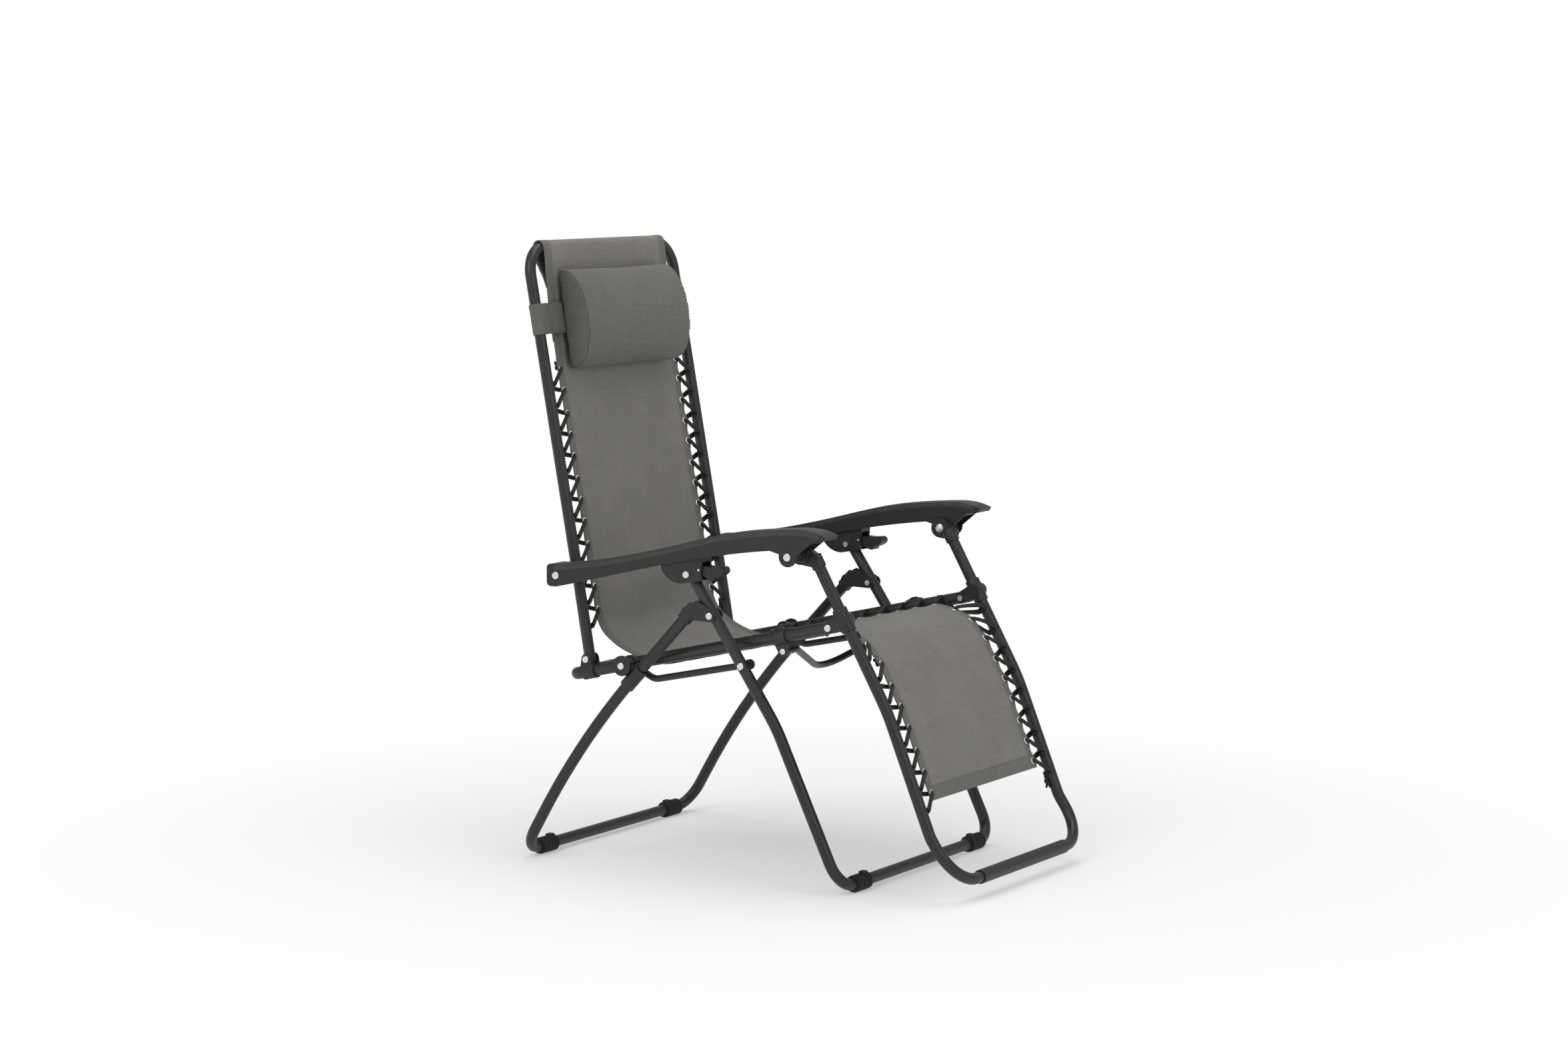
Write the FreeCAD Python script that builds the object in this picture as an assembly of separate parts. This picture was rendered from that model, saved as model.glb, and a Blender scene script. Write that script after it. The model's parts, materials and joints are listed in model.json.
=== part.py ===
import FreeCAD, Part
import math
import os

# Zero gravity recliner, millimetres.  +X points to the sitter's feet, +Y to the
# sitter's left, +Z up.  Z = 0 is the floor and X = Y = 0 is the middle of the chair.
# It stands upright, with its legs open.

Vector = FreeCAD.Vector
ACROSS = Vector(0, 1, 0)

# ---------------------------------------------------------------- driving sizes
tube_radius = 10.0
tube_wall = 1.0
rail_radius = 11.0
link_radius = 6.0
spreader_radius = 6.0
cord_radius = 1.5
bolt_radius = 3.0
running_gap = 0.05

# Half distance between the left and right tubes of each frame.
leg_side = 276.0
legrest_side = 239.0
seat_side = 239.0
back_side = 234.0
link_side = 256.0

# Pivots in the side view, as (x, z).
back_pivot = (-308.0, 366.0)
slider_pivot = (-204.0, 367.5)
link_pivot = (39.5, 384.5)
leg_pivot = (-21.7, 468.2)
bracket_pivot = (-67.3, 537.7)
knee_pivot = (194.0, 458.0)
arm_rear_pivot = (-337.0, 520.0)
arm_front_pivot = (140.0, 580.5)

# Leg frames.
rear_leg_top = (-68.0, 474.3)
rear_upper_angle = 46.5
rear_lower_angle = 59.5
shoulder_corner = (-48.0, 494.0)
slider_start = (-186.0, 347.0)
rear_bend_radius = 1450.0
front_bend = (105.4, 281.6)
foot_radius = 15.0
foot_height = 14.6
leg_corner_radius = 45.0
front_bar_x = 231.0

# Back, seat and legrest frames.
back_bend = (-335.0, 522.0)
back_bend_radius = 400.0
top_bar = (-440.0, 1094.0)
top_corner_radius = 52.0
rail_slope = 12.81
rail_rear_x = -342.0
rail_overhang = 7.0
seat_corner_radius = 22.0
legrest_top = (161.6, 573.0)
legrest_bend = (304.0, 318.0)
legrest_bend_radius = 420.0
ankle_bend = (387.0, 112.0)
ankle_radius = 60.0
foot_bar = (438.5, 36.5)
legrest_corner_radius = 70.0

# Sling, pillow and lacing.
sling_half_width = 197.0
sling_thickness = 2.0
eyelet_inset = 9.0
sling_drop = 4.0
eyelet_pitch = 39.5
eyelet_outer = 6.0
eyelet_inner = 3.2
pillow_half_width = 171.0
pillow_height = 186.0
pillow_depth = 66.0
strap_height = 55.0

# Armrests, and the shoes that hold them on the front leg.
arm_inner = 254.0
arm_outer = 298.0
arm_wall = 3.5
shoe_half_width = 16.5
shoe_top = 28.0
lever_place_run = 26.0
lever_place_lift = 6.0
lever_travel = 28.0
lever_pin_radius = 2.0

# Sliding sleeve, spreader bar, back clevis and pillow places.
boss_radius = 12.5
slider_length = 46.0
ear_x = 91.7
ear_drop = 26.0
folded_back_angle = 8.0
pillow_up_back = 445.0
strap_up_back = 452.0

# Ranges of width that a drilled hole goes through.
RIGHT_SIDE = [(-400, -200)]
BOTH_SIDES = [(-400, -200), (200, 400)]


# ---------------------------------------------------------------- small helpers
def at(side_point, y=0.0):
    """The 3-D point that lies at a side-view (x, z) place and at width y."""
    return Vector(side_point[0], y, side_point[1])


def direction(angle):
    """Unit vector in the side view, angle in degrees above +X."""
    return Vector(math.cos(math.radians(angle)), 0, math.sin(math.radians(angle)))


def mirrored(shape):
    return shape.mirror(Vector(0, 0, 0), ACROSS)


def pair(shape):
    """A piece on the right side (-Y) and its mirror image on the left side."""
    return Part.makeCompound([shape, mirrored(shape)])


def save(name, shape):
    shape.exportStep("parts/" + name + ".step")


def across_cylinder(side_point, radius, y_low, y_high):
    """A cylinder that lies across the chair between two widths."""
    return Part.makeCylinder(radius, y_high - y_low, at(side_point, y_low), ACROSS)


def across_ring(side_point, outer, inner, y_low, y_high):
    outside = across_cylinder(side_point, outer, y_low, y_high)
    return outside.cut(across_cylinder(side_point, inner, y_low - 1, y_high + 1))


def bent_path(corners):
    """A wire through corners given as (point, bend radius), with a tangent arc at each bend."""
    edges = []
    start = corners[0][0]
    for index in range(1, len(corners) - 1):
        corner, radius = corners[index]
        before = corner - corners[index - 1][0]
        after = corners[index + 1][0] - corner
        before.normalize()
        after.normalize()
        turn = before.getAngle(after)
        setback = radius * math.tan(turn / 2)
        arc_start = corner - before * setback
        arc_end = corner + after * setback
        inward = after - before
        inward.normalize()
        middle = corner + inward * (radius / math.cos(turn / 2) - radius)
        edges.append(Part.makeLine(start, arc_start))
        edges.append(Part.Arc(arc_start, middle, arc_end).toShape())
        start = arc_end
    edges.append(Part.makeLine(start, corners[-1][0]))
    return Part.Wire(edges)


def swept_rod(path, radius):
    first = path.Edges[0]
    tangent = first.tangentAt(first.FirstParameter)
    start = first.valueAt(first.FirstParameter)
    profile = Part.Wire([Part.makeCircle(radius, start, tangent)])
    return path.makePipeShell([profile], True, False)


def bent_tube(corners, radius, wall=tube_wall):
    path = bent_path(corners)
    return swept_rod(path, radius).cut(swept_rod(path, radius - wall))


def both_sides(corners, side, cross_corner_radius):
    """Corners of a U frame: down the right side, across, and up the left side."""
    right = [(at(point, -side), radius) for point, radius in corners[:-1]]
    right.append((at(corners[-1][0], -side), cross_corner_radius))
    left = [(Vector(point.x, side, point.z), radius) for point, radius in reversed(right)]
    return right + left


def drill(shape, side_point, radius, widths):
    for y_low, y_high in widths:
        shape = shape.cut(across_cylinder(side_point, radius, y_low, y_high))
    return shape


def bolt(side_point, y_head, y_end, head_radius=6.5, head_height=3.5):
    """A dome-headed bolt on the right side; its head is at the outer width y_head."""
    shank = across_cylinder(side_point, bolt_radius, y_head, y_end)
    head = across_cylinder(side_point, head_radius, y_head - head_height, y_head)
    rim = min(head.Edges, key=lambda edge: edge.CenterOfMass.y)
    head = head.makeFillet(head_height * 0.6, [rim])
    return shank.fuse(head).removeSplitter()


def nut(side_point, y_start, height=5.0, radius=5.5):
    """A hexagon nut whose face starts at width y_start on the right side."""
    corners = []
    for step in range(7):
        angle = math.radians(60 * step)
        offset = Vector(radius * math.cos(angle), 0, radius * math.sin(angle))
        corners.append(at(side_point, y_start) + offset)
    prism = Part.Face(Part.makePolygon(corners)).extrude(Vector(0, height, 0))
    return prism.cut(across_cylinder(side_point, bolt_radius, y_start - 1, y_start + height + 1))


def extruded_outline(edges, y_low, y_high):
    face = Part.Face(Part.Wire(edges))
    face.translate(Vector(0, y_low - face.BoundBox.YMin, 0))
    return face.extrude(Vector(0, y_high - y_low, 0))


def rounded_bar(first, second, radius_first, radius_second, y_low, y_high):
    """A flat lug with round ends, seen from the side, between two (x, z) places."""
    line = at(second) - at(first)
    length = line.Length
    line.normalize()
    side = Vector(-line.z, 0, line.x)
    tilt = math.asin((radius_first - radius_second) / length)
    up = side * math.cos(tilt) + line * math.sin(tilt)
    down = side * -math.cos(tilt) + line * math.sin(tilt)
    a_up = at(first) + up * radius_first
    a_down = at(first) + down * radius_first
    b_up = at(second) + up * radius_second
    b_down = at(second) + down * radius_second
    edges = [
        Part.makeLine(a_up, b_up),
        Part.Arc(b_up, at(second) + line * radius_second, b_down).toShape(),
        Part.makeLine(b_down, a_down),
        Part.Arc(a_down, at(first) - line * radius_first, a_up).toShape(),
    ]
    return extruded_outline(edges, y_low, y_high)


def on_rail(x):
    """The side-view place of the seat rail's centre line at x."""
    rise = (x - slider_pivot[0]) * math.tan(math.radians(rail_slope))
    return (x, slider_pivot[1] + rise)


def along(start, end, share):
    return (start[0] + (end[0] - start[0]) * share, start[1] + (end[1] - start[1]) * share)


bolt_hole = bolt_radius + running_gap


# ---------------------------------------------------------------- rear leg
def rear_leg_corners():
    """Straight down from the top, a long shallow bend, then straight to the floor bar."""
    upper = direction(rear_upper_angle)
    lower = direction(rear_lower_angle)
    turn = math.radians(rear_lower_angle - rear_upper_angle)
    setback = rear_bend_radius * math.tan(turn / 2)
    corner = at(slider_start) - upper * setback
    drop = (corner.z - foot_height) / lower.z
    floor = corner - lower * drop
    top = at(slider_start) + upper * ((rear_leg_top[1] - slider_start[1]) / upper.z)
    return [((top.x, top.z), 0), ((corner.x, corner.z), rear_bend_radius), ((floor.x, floor.z), 0)]


def rear_leg():
    corners = rear_leg_corners()
    frame = bent_tube(both_sides(corners, leg_side, leg_corner_radius), tube_radius)
    save("rear_leg_frame", frame)
    save("rear_feet", feet(corners[-1][0]))
    top = at(corners[0][0], -leg_side)
    slope = direction(rear_upper_angle)
    socket_radius = 13.0
    socket = Part.makeCylinder(socket_radius, 30, top - slope * 24, slope)
    socket = socket.cut(Part.makeCylinder(tube_radius, 24, top - slope * 24, slope))
    inner_wall = leg_side - tube_radius - 0.4
    outer_wall = leg_side + tube_radius + 0.4
    cheek = 3.6
    knuckle = 10.5
    root = at(corners[0][0]) - slope * 6
    root = (root.x, root.z)
    clevis = socket
    for low, high in ((-outer_wall - cheek, -outer_wall), (-inner_wall, -inner_wall + cheek)):
        clevis = clevis.fuse(rounded_bar(root, leg_pivot, 11.0, knuckle, low, high))
        clevis = clevis.fuse(shoulder_plate(root, knuckle, low, high))
    clevis = clevis.cut(Part.makeCylinder(tube_radius, 24, top - slope * 24, slope))
    clevis = drill(clevis.removeSplitter(), leg_pivot, bolt_radius, RIGHT_SIDE)
    save("rear_leg_clevises", pair(clevis))
    head_seat = -outer_wall - cheek
    save("leg_pivot_bolts", pair(bolt(leg_pivot, head_seat, -inner_wall + cheek + 5)))
    save("leg_pivot_nuts", pair(nut(leg_pivot, -inner_wall + cheek)))


def shoulder_plate(root, knuckle, y_low, y_high):
    """The clevis cheek's square shoulder, which runs off at a tangent to the pivot's knuckle."""
    to_pivot = at(leg_pivot) - at(shoulder_corner)
    opening = math.asin(knuckle / to_pivot.Length)
    heading = math.degrees(math.atan2(to_pivot.z, to_pivot.x) + opening)
    tangent = at(shoulder_corner) + direction(heading) * (to_pivot.Length * math.cos(opening))
    tube_edge = at(root) + direction(rear_upper_angle + 90) * 11.0
    outline = [at(root), tube_edge, at(shoulder_corner), tangent, at(leg_pivot), at(root)]
    plate = Part.Face(Part.makePolygon(outline))
    plate.translate(Vector(0, y_low, 0))
    return plate.extrude(Vector(0, y_high - y_low, 0))


def feet(bar):
    """Ribbed rubber sleeves near both ends of a floor bar, worn flat below, with a tab on top."""
    sleeve_length = 46.0
    rib_count = 6
    rib_depth = 1.6
    outer_end = leg_side - leg_corner_radius - 1
    body_radius = foot_radius - rib_depth
    start = -outer_end
    sleeve = across_cylinder(bar, body_radius, start, start + sleeve_length)
    pitch = sleeve_length / rib_count
    for index in range(rib_count):
        rib_start = start + index * pitch + pitch * 0.2
        sleeve = sleeve.fuse(across_cylinder(bar, foot_radius, rib_start, rib_start + pitch * 0.6))
    tab_corner = Vector(bar[0] - 5, start + sleeve_length - 18, bar[1] + body_radius - 1)
    tab = Part.makeBox(10, 14, 5, tab_corner)
    sleeve = sleeve.fuse(tab)
    sleeve = sleeve.cut(across_cylinder(bar, tube_radius, start - 1, start + sleeve_length + 1))
    below_floor = Part.makeBox(60, sleeve_length + 2, 20, Vector(bar[0] - 30, start - 1, -20))
    return pair(sleeve.cut(below_floor).removeSplitter())


# ---------------------------------------------------------------- front leg
def front_leg():
    corners = [(bracket_pivot, 0), (front_bend, 300.0), ((front_bar_x, foot_height), 0)]
    frame = bent_tube(both_sides(corners, leg_side, leg_corner_radius), tube_radius)
    frame = drill(frame, leg_pivot, bolt_hole, BOTH_SIDES)
    frame = drill(frame, link_pivot, bolt_radius, BOTH_SIDES)
    frame = drill(frame, bracket_pivot, 4.5, BOTH_SIDES)
    save("front_leg_frame", frame)
    save("front_feet", feet((front_bar_x, foot_height)))
    head_seat = -leg_side - tube_radius
    save("link_bolts", pair(bolt(link_pivot, head_seat, -leg_side + tube_radius)))


# ---------------------------------------------------------------- armrest bracket
def armrest_bracket():
    """A shoe that pivots on the front leg's top end and slides inside the armrest."""
    tilt = arm_angle()
    low = -leg_side - shoe_half_width
    high = -leg_side + shoe_half_width
    centre = at(bracket_pivot)
    heel_top, heel, toe_low, toe_top = [
        at(along_arm(run_distance, lift_distance))
        for run_distance, lift_distance in ((-50, shoe_top), (-50, 13), (28, -13), (36, shoe_top))
    ]
    sole = at(along_arm(-14, -15))
    edges = [
        Part.makeLine(heel_top, heel),
        Part.Arc(heel, at(along_arm(-38, -4)), sole).toShape(),
        Part.makeLine(sole, toe_low),
        Part.makeLine(toe_low, toe_top),
        Part.makeLine(toe_top, heel_top),
    ]
    shoe = extruded_outline(edges, low, high)
    slot_half_width = tube_radius + 0.4
    slot_low = -leg_side - slot_half_width
    slot = Part.makeBox(400, 2 * slot_half_width, 200, Vector(-200, 0, -200 + 14))
    slot.rotate(Vector(0, 0, 0), Vector(0, -1, 0), tilt)
    slot.translate(centre + Vector(0, slot_low, 0))
    shoe = shoe.cut(slot)
    shoe = drill(shoe, bracket_pivot, bolt_radius, RIGHT_SIDE)
    hub = lever_pivot()
    for raised in (0.0, lever_travel / 2, lever_travel):
        reach = at(hub) + direction(tilt + raised - 14) * 45
        shoe = shoe.cut(rounded_bar(hub, (reach.x, reach.z), 9.5, 15.0, low + 4, high - 4))
    shoe = drill(shoe, hub, lever_pin_radius, RIGHT_SIDE)
    save("armrest_brackets", pair(shoe))
    nut_height = 4.0
    save("bracket_bolts", pair(bolt(bracket_pivot, low, high + nut_height, 6.5, 3.0)))
    save("bracket_nuts", pair(nut(bracket_pivot, high, nut_height)))


def arm_angle():
    rise = arm_front_pivot[1] - arm_rear_pivot[1]
    return math.degrees(math.atan2(rise, arm_front_pivot[0] - arm_rear_pivot[0]))


def along_arm(run_distance, lift_distance):
    """A side-view place measured from the bracket bolt, along and across the armrest."""
    place = at(bracket_pivot) + direction(arm_angle()) * run_distance
    place = place + direction(arm_angle() + 90) * lift_distance
    return (place.x, place.z)


def lever_pivot():
    return along_arm(lever_place_run, lever_place_lift)


def lock_levers():
    low = -leg_side - shoe_half_width + 4.5
    high = -leg_side + shoe_half_width - 4.5
    hub = lever_pivot()
    palm = along_arm(50, -3)
    paddle = rounded_bar(hub, palm, 7.0, 11.5, low, high)
    paddle = paddle.fuse(rounded_bar(palm, along_arm(66, 1), 11.5, 7.0, low, high)).removeSplitter()
    finger_hollow = rounded_bar(along_arm(57, -15), along_arm(74, -10), 5.0, 5.0, low - 1, high + 1)
    paddle = paddle.cut(finger_hollow)
    paddle = drill(paddle, hub, lever_pin_radius + running_gap, RIGHT_SIDE)
    save("lock_lever_right", paddle)
    save("lock_lever_left", mirrored(paddle))
    pin_start = -leg_side - shoe_half_width
    pin = across_cylinder(hub, lever_pin_radius, pin_start, pin_start + 2 * shoe_half_width)
    save("lever_pins", pair(pin))


# ---------------------------------------------------------------- slider and link
def slider():
    """A moulded sleeve that runs on the rear leg and carries the seat's pivot."""
    slope = direction(rear_upper_angle)
    bore = tube_radius + 0.6
    start = at(slider_start, -leg_side) - slope * (slider_length / 2)
    sleeve = Part.makeCylinder(bore + 2.6, slider_length, start, slope)
    inner_face = -leg_side + tube_radius + 7.0
    outer_face = -leg_side - tube_radius - 5.0
    boss = across_cylinder(slider_pivot, boss_radius, outer_face, inner_face)
    outer_disc = across_cylinder(slider_pivot, 18.0, outer_face, outer_face + 4.0)
    inner_disc = across_cylinder(slider_pivot, 16.0, inner_face - 6.0, inner_face)
    rib = rounded_bar(slider_pivot, slider_start, 9.0, 9.0, -leg_side - 8, -leg_side + 8)
    bracket = sleeve.fuse([boss, outer_disc, inner_disc, rib])
    bracket = bracket.cut(Part.makeCylinder(bore, slider_length + 2, start - slope, slope))
    bracket = drill(bracket.removeSplitter(), slider_pivot, bolt_hole, RIGHT_SIDE)
    save("slider_brackets", pair(bracket))
    bolt_end = -seat_side + rail_radius + 6
    save("seat_pivot_bolts", pair(bolt(slider_pivot, outer_face, bolt_end)))
    save("seat_pivot_nuts", pair(nut(slider_pivot, -seat_side + rail_radius + 0.5)))


def link():
    """A round bar with flattened eyes that ties the slider to the front leg."""
    eye_radius = 9.0
    eye_half = 2.5
    dip = (slider_pivot[0] + 48, slider_pivot[1] - 24)
    neck_low = along(slider_pivot, dip, 0.3)
    neck_high = along(link_pivot, dip, 0.06)
    corners = [(neck_low, 0), (dip, 26), (neck_high, 0)]
    path = bent_path([(at(place, -link_side), radius) for place, radius in corners])
    bar = swept_rod(path, link_radius)
    low = -link_side - eye_half
    high = -link_side + eye_half
    rear_neck = along(slider_pivot, dip, 0.45)
    front_neck = along(link_pivot, dip, 0.09)
    rear_eye = rounded_bar(slider_pivot, rear_neck, eye_radius, link_radius, low, high)
    front_eye = rounded_bar(link_pivot, front_neck, eye_radius, link_radius, low, high)
    bar = bar.fuse([rear_eye, front_eye]).removeSplitter()
    bar = drill(bar, slider_pivot, bolt_hole, RIGHT_SIDE)
    bar = drill(bar, link_pivot, bolt_radius, RIGHT_SIDE)
    save("link_bars", pair(bar))
    bush_end = -leg_side + tube_radius + 0.5
    save("link_bushes", pair(across_ring(link_pivot, 7.0, bolt_radius, bush_end, low)))
    save("link_nuts", pair(nut(link_pivot, high)))
    inner_disc_face = -leg_side + tube_radius + 7.0
    washers = []
    for start, end in ((inner_disc_face, low), (high, -seat_side - rail_radius)):
        washer = across_ring(slider_pivot, 7.0, bolt_radius + 0.4, start + 0.1, end - 0.1)
        washers += [washer, mirrored(washer)]
    save("link_washers", Part.makeCompound(washers))


# ---------------------------------------------------------------- seat
def seat():
    front_end = on_rail(knee_pivot[0] + rail_overhang)
    corners = [(front_end, 0), (on_rail(rail_rear_x), 0)]
    frame = bent_tube(both_sides(corners, seat_side, seat_corner_radius), rail_radius)
    frame = drill(frame, slider_pivot, bolt_hole, BOTH_SIDES)
    frame = drill(frame, knee_pivot, bolt_hole, BOTH_SIDES)
    save("seat_frame", frame)
    save("seat_rail_caps", pair(rail_cap(front_end)))
    spreader()
    back_clevis()


def rail_cap(end):
    slope = direction(rail_slope)
    plug = Part.makeCylinder(rail_radius - tube_wall, 4, at(end, -seat_side) - slope * 4, slope)
    lid = Part.makeCylinder(rail_radius, 3, at(end, -seat_side), slope)
    lid = lid.makeFillet(2.0, [max(lid.Edges, key=lambda edge: edge.CenterOfMass.x)])
    return plug.fuse(lid).removeSplitter()


def ear_place():
    down = direction(rail_slope - 90)
    place = at(on_rail(ear_x)) + down * ear_drop
    return (place.x, place.z)


def spreader():
    """A bow that holds the two seat rails apart and clears the sitter."""
    ear = ear_place()
    rail = on_rail(ear_x)
    ear_half = 3.0
    low = -seat_side - ear_half
    high = -seat_side + ear_half
    lug = rounded_bar(rail, ear, 17.0, 9.0, low, high)
    slope = direction(rail_slope)
    clamp_start = at(rail, -seat_side) - slope * 14
    clamp = Part.makeCylinder(rail_radius + 3, 28, clamp_start, slope).fuse(lug)
    clamp = clamp.cut(Part.makeCylinder(rail_radius, 60, clamp_start - slope * 16, slope))
    clamp = drill(clamp.removeSplitter(), ear, bolt_radius, RIGHT_SIDE)
    save("spreader_ears", pair(clamp))
    lead_in = 38.0
    bow_back = -68.0
    bow_down = -66.0
    start = -seat_side + ear_half
    apex = Vector(ear[0] + bow_back, 0, ear[1] + bow_down)
    shoulder = Vector(ear[0], start + lead_in, ear[1])
    entry = Vector(ear[0], start, ear[1])
    far_shoulder = Vector(shoulder.x, -shoulder.y, shoulder.z)
    far_entry = Vector(entry.x, -entry.y, entry.z)
    corners = [(entry, 0), (shoulder, 45.0), (apex, 130.0), (far_shoulder, 45.0), (far_entry, 0)]
    bar = swept_rod(bent_path(corners), spreader_radius)
    screw_depth = 14.0
    bar = drill(bar, ear, bolt_radius, [(-400, start + screw_depth), (-start - screw_depth, 400)])
    save("spreader_bar", bar)
    save("spreader_screws", pair(bolt(ear, low, start + screw_depth, 5.5, 2.5)))


def back_clevis():
    """A saddle on the rear of the seat rail whose two cheeks hold the back frame's foot."""
    rail = on_rail(back_pivot[0])
    slope = direction(rail_slope)
    saddle_length = 27.0
    saddle_start = at(rail, -seat_side) - slope * 9
    saddle = Part.makeCylinder(rail_radius + 3, saddle_length, saddle_start, slope)
    outer_cheek = -back_side - tube_radius - 0.4
    inner_cheek = -back_side + tube_radius + 0.4
    cheek = 3.2
    body = saddle
    for low, high in ((outer_cheek - cheek, outer_cheek), (inner_cheek, inner_cheek + cheek)):
        body = body.fuse(rounded_bar(rail, back_pivot, 13.0, 10.0, low, high))
    body = body.cut(Part.makeCylinder(rail_radius, 80, saddle_start - slope * 20, slope))
    folded_reach = at(back_pivot) + direction(rail_slope + folded_back_angle) * 50
    room = (folded_reach.x, folded_reach.z)
    clear = tube_radius + 1.2
    body = body.cut(rounded_bar(back_pivot, room, clear, clear, outer_cheek, inner_cheek))
    body = drill(body.removeSplitter(), back_pivot, bolt_hole, RIGHT_SIDE)
    save("back_clevises", pair(body))
    save("back_pivot_bolts", pair(bolt(back_pivot, outer_cheek - cheek, inner_cheek + cheek + 5.5)))
    save("back_pivot_nuts", pair(nut(back_pivot, inner_cheek + cheek + 0.4)))


# ---------------------------------------------------------------- back
def back():
    foot_stop = along(back_pivot, back_bend, -0.02)
    corners = [(foot_stop, 0), (back_bend, back_bend_radius), (top_bar, 0)]
    frame = bent_tube(both_sides(corners, back_side, top_corner_radius), tube_radius)
    frame = drill(frame, back_pivot, bolt_hole, BOTH_SIDES)
    frame = drill(frame, arm_rear_pivot, bolt_hole, BOTH_SIDES)
    save("back_frame", frame)
    outer = -back_side - tube_radius - 0.1
    washer = across_ring(arm_rear_pivot, 9.0, bolt_radius + 0.4, -arm_inner + 0.4, outer)
    save("arm_rear_washers", pair(washer))
    bolt_end = -back_side + tube_radius + 6
    save("arm_rear_bolts", pair(bolt(arm_rear_pivot, -arm_outer, bolt_end, 7.0, 3.0)))
    save("arm_rear_nuts", pair(nut(arm_rear_pivot, -back_side + tube_radius + 0.4)))


# ---------------------------------------------------------------- legrest
def legrest():
    corners = [
        (legrest_top, 0),
        (legrest_bend, legrest_bend_radius),
        (ankle_bend, ankle_radius),
        (foot_bar, 0),
    ]
    frame = bent_tube(both_sides(corners, legrest_side, legrest_corner_radius), tube_radius)
    save("legrest_frame", frame)
    half_cover = legrest_side - legrest_corner_radius - 12
    save("footbar_cover", across_ring(foot_bar, tube_radius + 2.2, tube_radius, -half_cover, half_cover))
    knee_bracket()
    top_cap()


def knee_bracket():
    """A sleeve on the legrest tube with a forked arm back to the knee pivot."""
    axis = at(legrest_bend) - at(legrest_top)
    length = axis.Length
    axis.normalize()
    foot = at(knee_pivot) - at(legrest_top)
    share = foot.dot(axis) / length
    middle = along(legrest_top, legrest_bend, share)
    sleeve_length = 42.0
    start = at(middle, -legrest_side) - axis * (sleeve_length / 2)
    sleeve = Part.makeCylinder(tube_radius + 3, sleeve_length, start, axis)
    outer_cheek = -seat_side - rail_radius - 0.4
    inner_cheek = -seat_side + rail_radius + 0.4
    cheek = 3.2
    body = sleeve
    for low, high in ((outer_cheek - cheek, outer_cheek), (inner_cheek, inner_cheek + cheek)):
        body = body.fuse(rounded_bar(middle, knee_pivot, 13.0, 11.0, low, high))
    bridge = across_cylinder(middle, 13.0, outer_cheek - cheek, inner_cheek + cheek)
    body = body.fuse(bridge)
    body = body.cut(Part.makeCylinder(tube_radius, sleeve_length + 30, start - axis * 15, axis))
    body = drill(body.removeSplitter(), knee_pivot, bolt_hole, RIGHT_SIDE)
    save("knee_brackets", pair(body))
    save("knee_bolts", pair(bolt(knee_pivot, outer_cheek - cheek, inner_cheek + cheek + 5.5)))
    save("knee_nuts", pair(nut(knee_pivot, inner_cheek + cheek + 0.4)))


def top_cap():
    """A cap on the legrest's top end with a disc beside the armrest's front lug."""
    axis = at(legrest_top) - at(legrest_bend)
    axis.normalize()
    end = at(legrest_top, -legrest_side)
    cap = Part.makeCylinder(tube_radius + 2.4, 22, end - axis * 16, axis)
    disc_outer = -arm_inner + 0.6
    disc_inner = -legrest_side - 1.0
    disc = rounded_bar(arm_front_pivot, legrest_top, 17.0, 12.4, disc_outer, disc_inner)
    cap = cap.fuse(disc)
    cap = cap.cut(Part.makeCylinder(tube_radius, 16, end - axis * 16, axis))
    save("legrest_caps", pair(cap.removeSplitter()))


# ---------------------------------------------------------------- armrests
def smooth_line(points):
    curve = Part.BSplineCurve()
    curve.interpolate(points, False)
    return curve.toShape()


def rounded_end(centre, half):
    """Edges of a square end with rounded corners, from below the centre to above it."""
    flat = half - 8.0
    diagonal = flat + 8.0 * math.cos(math.radians(45))
    low_start = centre + Vector(0, 0, -half)
    low_bend = centre + Vector(-flat, 0, -half)
    low_end = centre + Vector(-half, 0, -flat)
    high_start = centre + Vector(-half, 0, flat)
    high_bend = centre + Vector(-flat, 0, half)
    high_end = centre + Vector(0, 0, half)
    return [
        Part.makeLine(low_start, low_bend),
        Part.Arc(low_bend, centre + Vector(-diagonal, 0, -diagonal), low_end).toShape(),
        Part.makeLine(low_end, high_start),
        Part.Arc(high_start, centre + Vector(-diagonal, 0, diagonal), high_bend).toShape(),
        Part.makeLine(high_bend, high_end),
    ]


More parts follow.
